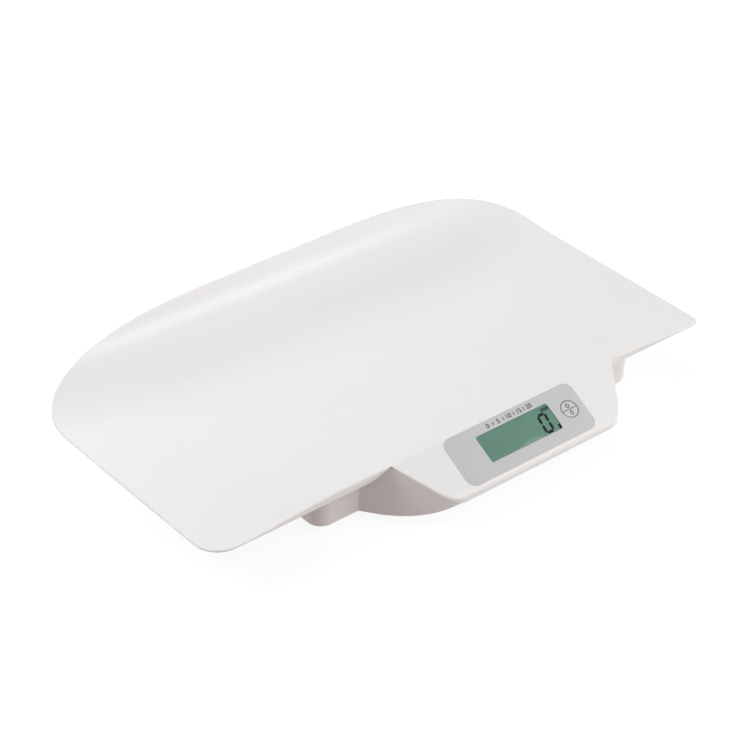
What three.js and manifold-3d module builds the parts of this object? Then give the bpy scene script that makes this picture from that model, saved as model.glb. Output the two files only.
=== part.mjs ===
// A digital baby weighing scale. A one-piece moulded tray with a raised concave back lies on a shallow
// base shell, which stands on four load-cell feet. The display looks out of a sloping apron at the front.
// Millimetres. X runs to the right, Y to the back and Z up. The origin is on the floor under the middle
// of the scale. Inside the group that is exported, Y starts at the tray's straight front edge.
import * as THREE from "three";
import { mergeVertices } from "three/addons/utils/BufferGeometryUtils.js";
import Module from "manifold-3d";

const wasm = await Module();
wasm.setup();

// Clearances and overruns shared by all pieces
const FIT_GAP = 0.3;
const SEAM_GAP = 0.35;
const CUT_OVERRUN = 1;

// Tray: floor, back wall and corners
const TRAY_LENGTH = 553.2;
const FLOOR_RUN = 210.4;
const BACK_RADIUS = 83;
const BACK_SWEEP = THREE.MathUtils.degToRad(60.4);
const BACK_CORNER_LENGTH = 206;
const BACK_CORNER_RUN = 82;
const BACK_CORNER_POWER = 2.5;
const FRONT_LEFT_CORNER_RADIUS = 24.6;
const FRONT_RIGHT_CORNER_RADIUS = 8;
const SHEET = 2.4;
const EDGE_HEIGHT = 52.2;

// The tray's front rises in the middle and carries a skirt below
const CROWN_RISE = 5.6;
const CROWN_CENTRE = 12;
const CROWN_FULL_HALF_LENGTH = 155;
const CROWN_END_HALF_LENGTH = 258;
const CROWN_RUN = 110;
const SKIRT_WALL = 2.4;
const SKIRT_END_RUN = 17.5;

// Apron that carries the display
const APRON_CENTRE = 35.5;
const APRON_HALF_LENGTH = 127;
const APRON_LEFT_TAPER_SHARE = 0.7;
const APRON_RIGHT_TAPER_SHARE = 0.625;
const APRON_SLOPE = THREE.MathUtils.degToRad(30);
const APRON_LENGTH = 53.2;
const APRON_LEFT_CORNER = 13;
const APRON_RIGHT_CORNER = 16;
const APRON_LIP = 5.2;

// Overlay, window and display, measured down the apron's slope
const OVERLAY_LENGTH = 148;
const OVERLAY_HEIGHT = 49;
const OVERLAY_CORNER = 9.5;
const OVERLAY_FROM_CREASE = 0.8;
const OVERLAY_THICKNESS = 0.5;
const WINDOW_LENGTH = 82;
const WINDOW_HEIGHT = 26.9;
const WINDOW_CORNER = 2;
const WINDOW_FROM_CREASE = 9.8;
const GLASS_LENGTH = 88;
const GLASS_HEIGHT = 32;
const GLASS_THICKNESS = 2.8;
const HOLDER_WALL = 2.4;
const ZEBRA_LENGTH = 78;
const ZEBRA_WIDTH = 2.4;

// Round key at the right of the display
const KEY_DIAMETER = 17.8;
const KEY_FROM_CENTRE = 58;
const KEY_FROM_CREASE = 24.2;
const KEY_FLANGE = 1.2;
const KEY_FLANGE_REACH = 1.4;
const KEY_PLUNGER_DIAMETER = 4;

// Main board and what it carries
const BOARD_LENGTH = 150;
const BOARD_HEIGHT = 38;
const BOARD_THICKNESS = 1.6;
const BOARD_DEPTH = 9.3;
const BOARD_SCREW_INSET = 5;
const SWITCH_SIDE = 6.2;
const SWITCH_HEIGHT = 3.5;
const SWITCH_STEM_DIAMETER = 3.4;
const SWITCH_STEM_PROUD = 1;
const SWITCH_BORE_DEPTH = 2.3;
const CHIP_DIAMETER = 15;
const CHIP_HEIGHT = 1.8;
const CHIP_DOME_SHARES = [[0, 1], [0.5, 0.92], [0.9, 0.55], [1, 0], [0, 0]];
const CRYSTAL_LENGTH = 10.2;
const CRYSTAL_WIDTH = 4;
const CRYSTAL_HEIGHT = 3.4;
const CRYSTAL_ROUND_SHARE = 0.98;
const CRYSTAL_PLACE_SHARE = -0.32;
const CAPACITOR_DIAMETER = 5;
const CAPACITOR_HEIGHT = 7;
const CAPACITOR_PLACE_SHARES = [0.32, 0.44];
const PART_ROW_SHARE = 0.4;

// Base shell: block, belly and their wall
const BASE_CLEARANCE = 6;
const BASE_CENTRE = 30.2;
const BASE_LENGTH = 355.6;
const BASE_FRONT = 24;
const BASE_DEPTH = 198;
const BASE_CORNER = 11;
const BASE_DRAFT = 4;
const BASE_EDGE = 2;
const BASE_EDGE_SHARE = 0.3;
const BASE_WALL = 2.4;
const BELLY_RADIUS = 75;
const BELLY_START = 8;
const BELLY_INTO_BLOCK = 8;

// Screws between the base shell and the tray
const POST_DIAMETER = 9;
const POST_TOP = 30;
const POST_SHOULDER = 6;
const BOSS_DIAMETER = 8;
const SCREW_HEAD_DIAMETER = 6;
const SCREW_HEAD_HEIGHT = 2.3;
const SCREW_DIAMETER = 3;
const SCREW_LENGTH = 14.3;
const SCREW_RECESS_DIAMETER = 2.2;
const SCREW_RECESS_DEPTH = 1.2;
const SCREW_HEAD_GAP = 0.6;
const SCREW_HEAD_FLAT_SHARE = 0.72;
const SCREW_HEAD_SIDE_SHARE = 0.55;
const BELLY_SCREW_SHARES = [0.756, 0.26];
const FRONT_SCREW_SHARES = [0.506, 0.1];
const SIDE_SCREW_SHARES = [0.9, 0.5];
const BACK_SCREW_SHARES = [0.562, 0.92];
const BOARD_SCREW_HEAD_DIAMETER = 4.6;
const BOARD_SCREW_HEAD_HEIGHT = 1.6;
const BOARD_SCREW_DIAMETER = 2;
const BOARD_SCREW_LENGTH = 6.6;
const BOARD_BOSS_DIAMETER = 6;

// Feet and load cells
const FOOT_INSET_X = 28;
const FOOT_INSET_Y = 29;
const PAD_DIAMETER = 25;
const PAD_HEIGHT = 2.6;
const PAD_GROOVE_SHARE = 0.6;
const PAD_GROOVE_WIDTH = 1.6;
const PAD_GROOVE_DEPTH = 0.6;
const CUP_DIAMETER = 29.4;
const CUP_BOTTOM = 1.6;
const CUP_HEIGHT = 7.4;
const CUP_POST_DIAMETER = 9;
const WELL_WALL = 4.6;
const WELL_TOP = 13;
const CELL_SIDE = 34;
const CELL_THICKNESS = 1.6;
const CELL_CORNER = 4;
const CELL_SLOT = 2;
const CELL_FRAME = 4.2;
const CELL_TONGUE = 13;

// Batteries and their bay
const BATTERY_DIAMETER = 10.5;
const BATTERY_LENGTH = 44.5;
const BATTERY_NUB_DIAMETER = 3.8;
const BATTERY_NUB = 1;
const BATTERY_EDGE = 0.8;
const BATTERY_PITCH = 11.3;
const BATTERY_COUNT = 3;
const BAY_CENTRE_Y = 126;
const BAY_WALL = 1.8;
const BAY_ROOM = 0.7;
const CONTACT_REACH = 2.8;
const CONTACT_STOCK = 0.45;
const CONTACT_HEIGHT = 8;
const CONTACT_WIDTH = 8;
const CONTACT_FLAT = 1.2;
const LEAD_SLOT = 3;

// Battery door in its rails under the base
const DOOR_THICKNESS = 2;
const DOOR_MARGIN_X = 3.4;
const DOOR_MARGIN_Y = 5.5;
const DOOR_CORNER = 3;
const DOOR_RIDGE_COUNT = 4;
const DOOR_RIDGE = 1.4;
const DOOR_RIDGE_PITCH = 2.8;
const DOOR_RIDGE_PLACE_SHARE = 0.5;
const DOOR_RIDGE_HEIGHT = 0.6;
const DOOR_RIDGE_LENGTH = 22;
const RAIL_WALL = 2;
const RAIL_LIP = 1.8;
const RAIL_LIP_HEIGHT = 1.4;

// Unit selector under the base
const UNIT_OFFSET_X = 66;
const UNIT_DIAMETER = 10;
const UNIT_PROUD = 1;
const UNIT_FLANGE = 1;
const UNIT_FLANGE_REACH = 1.2;
const UNIT_PLUNGER = 1;
const UNIT_BOARD_LENGTH = 24;
const UNIT_BOARD_WIDTH = 13;
const UNIT_BOARD_THICKNESS = 1.2;
const UNIT_POST_DIAMETER = 4.4;

// Ribs under the wings of the tray
const RIB_WALL = 2;
const RIB_ROOT = 13;
const RIB_TIP = 4;
const RIB_END_MARGIN = 14;
const RIB_CLEARANCE = 2;
const RIB_PLACE_SHARES = [0.26, 0.53, 0.8];

// Leads inside the base
const LEAD_DIAMETER = 2;
const LEAD_SIDES = 8;
const LEAD_STEPS = 24;
const LEAD_LANE_SHARE = 0.64;
const LEAD_START_SHARE = 0.6;
const LEAD_TURN_SHARE = 0.6;
const LEAD_OUT_SHARE = 0.8;
const LEAD_WALL_BEND = 6;
const LEAD_FLOOR_BEND = 10;
const LEAD_LANE_OFFSET = 2;
const LEAD_FRONT_OFFSET = 4;
const LEAD_ROW_SHARE = 0.36;
const LEAD_FOOT_SHARE = 0.5;
const LEAD_NECK_SHARE = 0.16;
const CELL_LEAD_END_SHARES = { front: 0.8, rear: 0.62 };
const BATTERY_LEAD_END_SHARE = 0.12;
const UNIT_LEAD_END_SHARE = 0.36;

// How finely round stretches are divided
const SIDES_LARGE = 20;
const SIDES_SMALL = 12;
const CORNER_STEPS = 4;
const BACK_CORNER_STEPS = 16;
const MIDDLE_COLUMNS = 6;
const BACK_ROWS = 11;
const BELLY_STEPS = 12;
const EDGE_SAMPLES = 14;
const FLOOR_ROW_SHARES = [0, 0.07, 0.14, 0.22, 0.3, 0.38, 0.46, 0.54, 0.76, 1];

// Heights and places that follow from the sizes above
const HALF_LENGTH = TRAY_LENGTH / 2;
const DECK_TOP = EDGE_HEIGHT + SHEET;
const BACK_RUN = FLOOR_RUN + BACK_RADIUS * BACK_SWEEP;
const SIDE_END = BACK_RUN - BACK_CORNER_RUN;
const CREASE_TOP = DECK_TOP + CROWN_RISE;
const APRON_REACH = APRON_LENGTH * Math.cos(APRON_SLOPE);
const TRAY_BACK = FLOOR_RUN + (BACK_RADIUS + SHEET) * Math.sin(BACK_SWEEP);
const BASE_TOP = CREASE_TOP;
const BASE_FLOOR = BASE_CLEARANCE + BASE_WALL;
const BASE_BACK = BASE_FRONT + BASE_DEPTH;
const BELLY_CENTRE_Z = BASE_CLEARANCE + BELLY_RADIUS;
const PLATE_UNDER = SHEET;
const RECESS_DEPTH = OVERLAY_THICKNESS + FIT_GAP;
const OVERLAY_MIDDLE = OVERLAY_FROM_CREASE + OVERLAY_HEIGHT / 2;
const WINDOW_MIDDLE = WINDOW_FROM_CREASE + WINDOW_HEIGHT / 2;
const GLASS_DEPTH = PLATE_UNDER + FIT_GAP;
const SHOULDER_HEIGHT = POST_TOP - POST_SHOULDER;
const BAY_LENGTH = BATTERY_LENGTH + 2 * (CONTACT_REACH + 2 * FIT_GAP);
const BAY_WIDTH = BATTERY_PITCH * (BATTERY_COUNT - 1) + BATTERY_DIAMETER + 2 * FIT_GAP;
const DOOR_TOP = BASE_CLEARANCE - FIT_GAP;
const BATTERY_Z = DOOR_TOP + FIT_GAP + BATTERY_DIAMETER / 2;
const BAY_ROOF = BATTERY_Z + BATTERY_DIAMETER / 2 + BAY_ROOM;
const DOOR_LENGTH = BAY_LENGTH + 2 * DOOR_MARGIN_X;
const DOOR_WIDTH = BAY_WIDTH + 2 * DOOR_MARGIN_Y;
const DOOR_BOTTOM = DOOR_TOP - DOOR_THICKNESS;
const UNIT_X = BASE_CENTRE + UNIT_OFFSET_X;
const UNIT_FLANGE_BOTTOM = BASE_FLOOR + FIT_GAP;
const UNIT_STEM_BOTTOM = UNIT_FLANGE_BOTTOM + UNIT_FLANGE + UNIT_PLUNGER + FIT_GAP;
const UNIT_SWITCH_BOTTOM = UNIT_STEM_BOTTOM + SWITCH_STEM_PROUD;
const UNIT_BOARD_BOTTOM = UNIT_SWITCH_BOTTOM + SWITCH_HEIGHT + FIT_GAP;
const LEAD_Z = BASE_FLOOR + FIT_GAP + LEAD_DIAMETER / 2;

// Colours and finishes
const whitePlastic = { color: "#ecebe8", roughness: 0.32, metalness: 0 };
const keyPlastic = { color: "#d3d3d2", roughness: 0.35, metalness: 0 };
const overlayFilm = { color: "#cdcdcd", roughness: 0.4, metalness: 0 };
const clearPlastic = { color: "#b9c9c2", roughness: 0.08, metalness: 0 };
const displayGreen = { color: "#688c7d", roughness: 0.2, metalness: 0 };
const greyRubber = { color: "#4c4d4f", roughness: 0.8, metalness: 0 };
const boardGreen = { color: "#24553a", roughness: 0.5, metalness: 0 };
const blackResin = { color: "#151515", roughness: 0.4, metalness: 0 };
const steel = { color: "#b4b6b8", roughness: 0.35, metalness: 1 };
const nickel = { color: "#c9c6bd", roughness: 0.3, metalness: 1 };
const batterySkin = { color: "#3b5f86", roughness: 0.35, metalness: 0.3 };
const redLead = { color: "#a3231d", roughness: 0.5, metalness: 0 };
const blackLead = { color: "#1d1d1f", roughness: 0.5, metalness: 0 };
const greyLead = { color: "#8e9093", roughness: 0.5, metalness: 0 };

// Between three.js geometries and solids that can be cut and joined
function solid(geometry) {
  const bare = geometry.clone();
  bare.deleteAttribute("normal");
  bare.deleteAttribute("uv");
  const merged = mergeVertices(bare);
  const vertProperties = new Float32Array(merged.attributes.position.array);
  const triVerts = new Uint32Array(merged.index.array);
  return new wasm.Manifold(new wasm.Mesh({ numProp: 3, vertProperties, triVerts }));
}

function geometryOf(body) {
  const mesh = body.getMesh();
  const geometry = new THREE.BufferGeometry();
  geometry.setAttribute("position", new THREE.BufferAttribute(new Float32Array(mesh.vertProperties), 3));
  geometry.setIndex(new THREE.BufferAttribute(new Uint32Array(mesh.triVerts), 1));
  geometry.computeVertexNormals();
  return geometry;
}

function joined(bodies) {
  return bodies.reduce((whole, body) => whole.add(body));
}

function cut(body, tools) {
  return tools.reduce((whole, tool) => whole.subtract(tool), body);
}

function named(name, shape, finish) {
  const geometry = shape.isBufferGeometry ? shape : geometryOf(shape);
  const mesh = new THREE.Mesh(geometry, new THREE.MeshStandardMaterial(finish));
  mesh.name = name;
  return mesh;
}

// Basic forms
function box(x0, x1, y0, y1, z0, z1) {
  const geometry = new THREE.BoxGeometry(x1 - x0, y1 - y0, z1 - z0);
  return solid(geometry.translate((x0 + x1) / 2, (y0 + y1) / 2, (z0 + z1) / 2));
}

function disc(diameter, x, y, z0, z1, sides = SIDES_SMALL) {
  const geometry = new THREE.CylinderGeometry(diameter / 2, diameter / 2, z1 - z0, sides);
  geometry.rotateX(Math.PI / 2);
  return solid(geometry.translate(x, y, (z0 + z1) / 2));
}

function turned(points, sides = SIDES_SMALL) {
  const geometry = new THREE.LatheGeometry(points.map(([r, z]) => new THREE.Vector2(r, z)), sides);
  return geometry.rotateX(Math.PI / 2);
}

function plate(shape, z0, z1) {
  const options = { depth: z1 - z0, bevelEnabled: false, curveSegments: CORNER_STEPS };
  return solid(new THREE.ExtrudeGeometry(shape, options).translate(0, 0, z0));
}

// An upright slab whose outline is drawn in X and Z, from y0 to y1
function slabAlongY(shape, y0, y1) {
  const options = { depth: y1 - y0, bevelEnabled: false, curveSegments: CORNER_STEPS };
  const geometry = new THREE.ExtrudeGeometry(shape, options).rotateX(Math.PI / 2);
  return solid(geometry.translate(0, y1, 0));
}

// A bar whose outline is drawn in Y and Z, from x0 to x1
function barAlongX(points, x0, x1) {
  const shape = new THREE.Shape(points.map(([y, z]) => new THREE.Vector2(y, z)));
  const geometry = new THREE.ExtrudeGeometry(shape, { depth: x1 - x0, bevelEnabled: false });
  const axes = new THREE.Matrix4().makeBasis(
    new THREE.Vector3(0, 1, 0), new THREE.Vector3(0, 0, 1), new THREE.Vector3(1, 0, 0));
  return solid(geometry.applyMatrix4(axes).translate(x0, 0, 0));
}

function roundedRectangle(length, width, radius, x = 0, y = 0) {
  const halfX = length / 2;
  const halfY = width / 2;
  const quarter = Math.PI / 2;
  const shape = new THREE.Shape();
  shape.absarc(x + halfX - radius, y + halfY - radius, radius, 0, quarter);
  shape.absarc(x - halfX + radius, y + halfY - radius, radius, quarter, 2 * quarter);
  shape.absarc(x - halfX + radius, y - halfY + radius, radius, 2 * quarter, 3 * quarter);
  shape.absarc(x + halfX - radius, y - halfY + radius, radius, 3 * quarter, 4 * quarter);
  return shape;
}

// A closed body through outlines of equal point count, one above the other
function loft(levels) {
  const rings = levels.map(({ shape, z }) => {
    const points = shape.extractPoints(CORNER_STEPS).shape;
    return { points, z };
  });
  const count = rings[0].points.length;
  const positions = rings.flatMap(({ points, z }) => points.flatMap((p) => [p.x, p.y, z]));
  const index = [];
  for (let level = 0; level + 1 < rings.length; level += 1) {
    for (let i = 0; i < count; i += 1) {
      const a = level * count + i;
      const b = level * count + (i + 1) % count;
      index.push(a, b, b + count, a, b + count, a + count);
    }
  }
  const cap = THREE.ShapeUtils.triangulateShape(rings[0].points, []);
  const top = (rings.length - 1) * count;
  for (const [a, b, c] of cap) {
    index.push(a, c, b, top + a, top + b, top + c);
  }
  const geometry = new THREE.BufferGeometry();
  geometry.setAttribute("position", new THREE.Float32BufferAttribute(positions, 3));
  geometry.setIndex(index);
  return solid(geometry);
}

// Tray surface: how far the front is raised, and the point at a run from the front edge
function smooth(share) {
  const t = THREE.MathUtils.clamp(share, 0, 1);
  return t * t * (3 - 2 * t);
}

function crown(x, run) {
  const fromCentre = Math.abs(x - CROWN_CENTRE);
  const fade = CROWN_END_HALF_LENGTH - CROWN_FULL_HALF_LENGTH;
  const across = smooth((CROWN_END_HALF_LENGTH - fromCentre) / fade);
  const along = smooth(1 - run / CROWN_RUN);
  return CROWN_RISE * across * along;
}

function deckTop(x, y) {
  return DECK_TOP + crown(x, y);
}

// The middle of the sheet's thickness over a place, also where the tray curves up at the back
function sheetMiddle(x, y) {
  const past = Math.max(y - FLOOR_RUN, 0);
  const radius = BACK_RADIUS + SHEET / 2;
  return deckTop(x, y) + BACK_RADIUS - Math.sqrt(radius ** 2 - past ** 2);
}

function trayPoint(x, run, below) {
  if (run <= FLOOR_RUN) {
    return [x, run, deckTop(x, run) - below];
  }
  const turn = (run - FLOOR_RUN) / BACK_RADIUS;
  const radius = BACK_RADIUS + below;
  return [x, FLOOR_RUN + radius * Math.sin(turn), DECK_TOP + BACK_RADIUS - radius * Math.cos(turn)];
}

// Where the tray starts and ends, column by column from left to right
function trayColumns() {
  const middleHalf = HALF_LENGTH - BACK_CORNER_LENGTH;
  const corner = [];
  for (let i = 0; i <= BACK_CORNER_STEPS; i += 1) {
    const angle = (Math.PI / 2) * (i / BACK_CORNER_STEPS);
    const power = 2 / BACK_CORNER_POWER;
    const x = middleHalf + BACK_CORNER_LENGTH * Math.pow(Math.max(Math.cos(angle), 0), power);
    corner.push({ x, back: SIDE_END + BACK_CORNER_RUN * Math.pow(Math.sin(angle), power) });
  }
  corner[BACK_CORNER_STEPS].x = middleHalf;
  const columns = corner.map(({ x, back }) => ({ x: -x, back }));
  for (let i = 1; i < MIDDLE_COLUMNS; i += 1) {
    columns.push({ x: middleHalf * (2 * i / MIDDLE_COLUMNS - 1), back: BACK_RUN });
  }
  columns.push(...corner.reverse());
  return columns.map(({ x, back }) => ({ x, back, front: trayFront(x) }));
}

function frontCornerRadius(side) {
  return side < 0 ? FRONT_LEFT_CORNER_RADIUS : FRONT_RIGHT_CORNER_RADIUS;
}

function trayFront(x) {
  const radius = frontCornerRadius(x);
  const past = Math.abs(x) - (HALF_LENGTH - radius);
  if (past <= 0) {
    return 0;
  }
  return radius - Math.sqrt(Math.max(radius ** 2 - past ** 2, 0));
}

// The tray's sheet between two depths below its upper surface
function traySheet(upper, lower) {
  const columns = trayColumns();
  const rows = FLOOR_ROW_SHARES.length + BACK_ROWS;
  const runAt = ({ front, back }, row) => {
    if (row < FLOOR_ROW_SHARES.length) {
      return front + (FLOOR_RUN - front) * FLOOR_ROW_SHARES[row];
    }
    return FLOOR_RUN + (back - FLOOR_RUN) * ((row - FLOOR_ROW_SHARES.length + 1) / BACK_ROWS);
  };
  const positions = [];
  for (const below of [upper, lower]) {
    for (const column of columns) {
      for (let row = 0; row < rows; row += 1) {
        positions.push(...trayPoint(column.x, runAt(column, row), below));
      }
    }
  }
  const half = columns.length * rows;
  const top = (column, row) => column * rows + row;
  const under = (column, row) => half + top(column, row);
  const index = [];
  const quad = (a, b, c, d) => index.push(a, b, c, a, c, d);
  const lastColumn = columns.length - 1;
  const lastRow = rows - 1;
  for (let c = 0; c < lastColumn; c += 1) {
    for (let r = 0; r < lastRow; r += 1) {
      quad(top(c, r), top(c + 1, r), top(c + 1, r + 1), top(c, r + 1));
      quad(under(c, r), under(c, r + 1), under(c + 1, r + 1), under(c + 1, r));
    }
    quad(under(c, 0), under(c + 1, 0), top(c + 1, 0), top(c, 0));
    quad(under(c + 1, lastRow), under(c, lastRow), top(c, lastRow), top(c + 1, lastRow));
  }
  for (let r = 0; r < lastRow; r += 1) {
    quad(under(0, r + 1), under(0, r), top(0, r), top(0, r + 1));
    quad(under(lastColumn, r), under(lastColumn, r + 1), top(lastColumn, r + 1), top(lastColumn, r));
  }
  const geometry = new THREE.BufferGeometry();
  geometry.setAttribute("position", new THREE.Float32BufferAttribute(positions, 3));
  geometry.setIndex(index);
  return solid(geometry);
}

// A strip below the sheet whose top follows it at one Y, and whose lower edge is given as a function of X
function stripUnderSheet(x0, x1, y0, y1, lowerEdge) {
  const middle = (y0 + y1) / 2;
  const shape = new THREE.Shape();
  for (let i = 0; i <= EDGE_SAMPLES; i += 1) {
    const x = x0 + (x1 - x0) * (i / EDGE_SAMPLES);
    const point = new THREE.Vector2(x, deckTop(x, middle) - SHEET / 2);
    if (i === 0) {
      shape.moveTo(point.x, point.y);
    } else {
      shape.lineTo(point.x, point.y);
    }
  }
  for (let i = EDGE_SAMPLES; i >= 0; i -= 1) {
    const x = x0 + (x1 - x0) * (i / EDGE_SAMPLES);
    shape.lineTo(x, Math.min(lowerEdge(x), deckTop(x, middle) - SHEET));
  }
  return slabAlongY(shape, y0, y1);
}

// The skirt below the front edge, left or right of the apron; the left one is cut off slanting beside it
function skirt(side) {
  const crownEnd = Math.abs(CROWN_CENTRE + side * CROWN_END_HALF_LENGTH);
  const outer = side * Math.min(crownEnd, HALF_LENGTH - frontCornerRadius(side));
  const end = APRON_CENTRE + side * (apronHalfAt(side, SKIRT_WALL, 0) + FIT_GAP);
  const lowerEdge = (x) => {
    if (side > 0) {
      return EDGE_HEIGHT;
    }
    const rise = THREE.MathUtils.clamp(1 - (end - x) / SKIRT_END_RUN, 0, 1);
    return EDGE_HEIGHT + (CREASE_TOP - EDGE_HEIGHT) * rise;
  };
  const bend = end + side * SKIRT_END_RUN;
  return joined([[end, bend], [bend, outer]].map((ends) =>
    stripUnderSheet(Math.min(...ends), Math.max(...ends), 0, SKIRT_WALL, lowerEdge)));
}

// Half the apron's length on one side at a place in its depth, less an inset from its edge
function apronHalfAt(side, y, inset) {
  const taperShare = side < 0 ? APRON_LEFT_TAPER_SHARE : APRON_RIGHT_TAPER_SHARE;
  return APRON_HALF_LENGTH + taperShare * y - inset * Math.hypot(1, taperShare);
}

// Apron: plan, and the band between two depths below its sloping surface
function apronPlan(inset, back) {
  const edgeAt = (side, y) => APRON_CENTRE + side * apronHalfAt(side, y, inset);
  const front = -APRON_REACH + inset;
  const left = Math.max(APRON_LEFT_CORNER - inset, SHEET);
  const right = Math.max(APRON_RIGHT_CORNER - inset, SHEET);
  const shape = new THREE.Shape();
  shape.moveTo(edgeAt(1, back), back);
  shape.lineTo(edgeAt(-1, back), back);
  shape.lineTo(edgeAt(-1, front + left), front + left);
  shape.quadraticCurveTo(edgeAt(-1, front), front, edgeAt(-1, front) + left, front);
  shape.lineTo(edgeAt(1, front) - right, front);
  shape.quadraticCurveTo(edgeAt(1, front), front, edgeAt(1, front + right), front + right);
  return shape;
}

function apronHeight(y) {
  return CREASE_TOP + y * Math.tan(APRON_SLOPE);
}

function apronBand(upper, lower, back) {
  const front = -APRON_REACH - CUT_OVERRUN;
  const points = [
    [front, apronHeight(front) - upper], [front, apronHeight(front) - lower],
    [0, CREASE_TOP - lower], [back, CREASE_TOP - lower],
    [back, CREASE_TOP - Math.max(upper, SHEET / 2)], [0, CREASE_TOP - upper],
  ];
  return barAlongX(points, APRON_CENTRE - HALF_LENGTH, APRON_CENTRE + HALF_LENGTH);
}

function apron() {
  const outer = apronBand(0, APRON_LIP, SKIRT_WALL);
  const outerPlan = plate(apronPlan(0, SKIRT_WALL), 0, CREASE_TOP + CUT_OVERRUN);
  const hollow = apronBand(SHEET / Math.cos(APRON_SLOPE), APRON_LIP + CUT_OVERRUN, CROWN_RUN);
  const hollowPlan = plate(apronPlan(SHEET, CROWN_RUN), 0, CREASE_TOP + CUT_OVERRUN);
  return outer.intersect(outerPlan).subtract(hollow.intersect(hollowPlan));
}

// A point on the apron: across from its centre, down the slope from the crease, and below the surface
function onApron(across, run, depth) {
  return new THREE.Vector3(
    APRON_CENTRE + across,
    -run * Math.cos(APRON_SLOPE) + depth * Math.sin(APRON_SLOPE),
    CREASE_TOP - run * Math.sin(APRON_SLOPE) - depth * Math.cos(APRON_SLOPE));
}

// Turns a body drawn flat (X across, Y up the slope, Z out of the surface) onto the apron
function toApron(body) {
  const turn = new THREE.Matrix4().makeRotationX(APRON_SLOPE);
  turn.setPosition(APRON_CENTRE, 0, CREASE_TOP);
  return solid(geometryOf(body).applyMatrix4(turn));
}

function boardScrewPlaces() {
  const across = BOARD_LENGTH / 2 - BOARD_SCREW_INSET;
  const up = BOARD_HEIGHT / 2 - BOARD_SCREW_INSET;
  return [[-across, up], [across, up], [-across, -up], [across, -up]]
    .map(([x, y]) => [x, y - WINDOW_MIDDLE]);
}

// Screws from below: two in the belly, two in front, two at the sides and two at the back
function coverScrewPlaces() {
  const [bellyXShare, bellyYShare] = BELLY_SCREW_SHARES;
  const inBelly = [-1, 1].map((side) =>
    [APRON_CENTRE + side * bellyXShare * APRON_HALF_LENGTH, -bellyYShare * APRON_REACH]);
  const inBlock = [FRONT_SCREW_SHARES, SIDE_SCREW_SHARES, BACK_SCREW_SHARES].flatMap(([xShare, yShare]) =>
    [-1, 1].map((side) =>
      [BASE_CENTRE + side * xShare * BASE_LENGTH / 2, BASE_FRONT + yShare * BASE_DEPTH]));
  return [...inBelly, ...inBlock];
}

function footPlaces() {
  const left = BASE_CENTRE - BASE_LENGTH / 2 + FOOT_INSET_X;
  const right = BASE_CENTRE + BASE_LENGTH / 2 - FOOT_INSET_X;
  const front = BASE_FRONT + FOOT_INSET_Y;
  const back = BASE_BACK - FOOT_INSET_Y;
  return [
    { place: "front_left", x: left, y: front }, { place: "front_right", x: right, y: front },
    { place: "rear_left", x: left, y: back }, { place: "rear_right", x: right, y: back },
  ];
}

function screwBoss([x, y]) {
  const bottom = POST_TOP + FIT_GAP;
  const top = y < 0 ? CREASE_TOP : sheetMiddle(x, y);
  const boss = disc(BOSS_DIAMETER, x, y, bottom, top);
  return y < 0 ? boss.intersect(apronBand(0, CREASE_TOP, 0)) : boss;
}

function screwBossHole([x, y]) {
  const top = SHOULDER_HEIGHT + SCREW_LENGTH + FIT_GAP;
  return disc(SCREW_DIAMETER + 2 * FIT_GAP, x, y, POST_TOP - CUT_OVERRUN, top);
}

function ribs() {
  const blockLeft = BASE_CENTRE - BASE_LENGTH / 2 - BASE_DRAFT - RIB_CLEARANCE;
  const blockRight = BASE_CENTRE + BASE_LENGTH / 2 + BASE_DRAFT + RIB_CLEARANCE;
  const tip = HALF_LENGTH - RIB_END_MARGIN;
  const lowerEdge = (root, end) => (x) => {
    const share = (x - root) / (end - root);
    return DECK_TOP - SHEET - RIB_ROOT + (RIB_ROOT - RIB_TIP) * share;
  };
  return RIB_PLACE_SHARES.flatMap((share) => {
    const y = FLOOR_RUN * share;
    return [
      stripUnderSheet(-tip, blockLeft, y, y + RIB_WALL, lowerEdge(blockLeft, -tip)),
      stripUnderSheet(blockRight, tip, y, y + RIB_WALL, lowerEdge(blockRight, tip)),
    ];
  });
}

function tray() {
  const boardBosses = boardScrewPlaces().map(([x, y]) =>
    toApron(disc(BOARD_BOSS_DIAMETER, x, y, -BOARD_DEPTH + FIT_GAP, -SHEET / 2)));
  const body = joined([
    traySheet(0, SHEET), skirt(-1), skirt(1), apron(), ...boardBosses,
    ...coverScrewPlaces().map(screwBoss), ...ribs(),
  ]);
  const overlayShape = roundedRectangle(
    OVERLAY_LENGTH + 2 * FIT_GAP, OVERLAY_HEIGHT + 2 * FIT_GAP, OVERLAY_CORNER, 0, -OVERLAY_MIDDLE);
  const windowShape = roundedRectangle(WINDOW_LENGTH, WINDOW_HEIGHT, WINDOW_CORNER, 0, -WINDOW_MIDDLE);
  const openings = [
    toApron(plate(overlayShape, -RECESS_DEPTH, CUT_OVERRUN)),
    toApron(plate(windowShape, -GLASS_DEPTH, CUT_OVERRUN)),
    toApron(disc(KEY_DIAMETER, KEY_FROM_CENTRE, -KEY_FROM_CREASE, -GLASS_DEPTH, CUT_OVERRUN, SIDES_LARGE)),
    ...boardScrewPlaces().map(([x, y]) => toApron(
      disc(BOARD_SCREW_DIAMETER + 2 * FIT_GAP, x, y, -BOARD_DEPTH, -BOARD_DEPTH + BOARD_SCREW_LENGTH))),
    ...coverScrewPlaces().map(screwBossHole),
  ];
  return named("tray", cut(body, openings), whitePlastic);
}

// Base shell
function baseOutline(grow) {
  return roundedRectangle(
    BASE_LENGTH + 2 * grow, BASE_DEPTH + 2 * grow, BASE_CORNER + grow,
    BASE_CENTRE, BASE_FRONT + BASE_DEPTH / 2);
}

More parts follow.
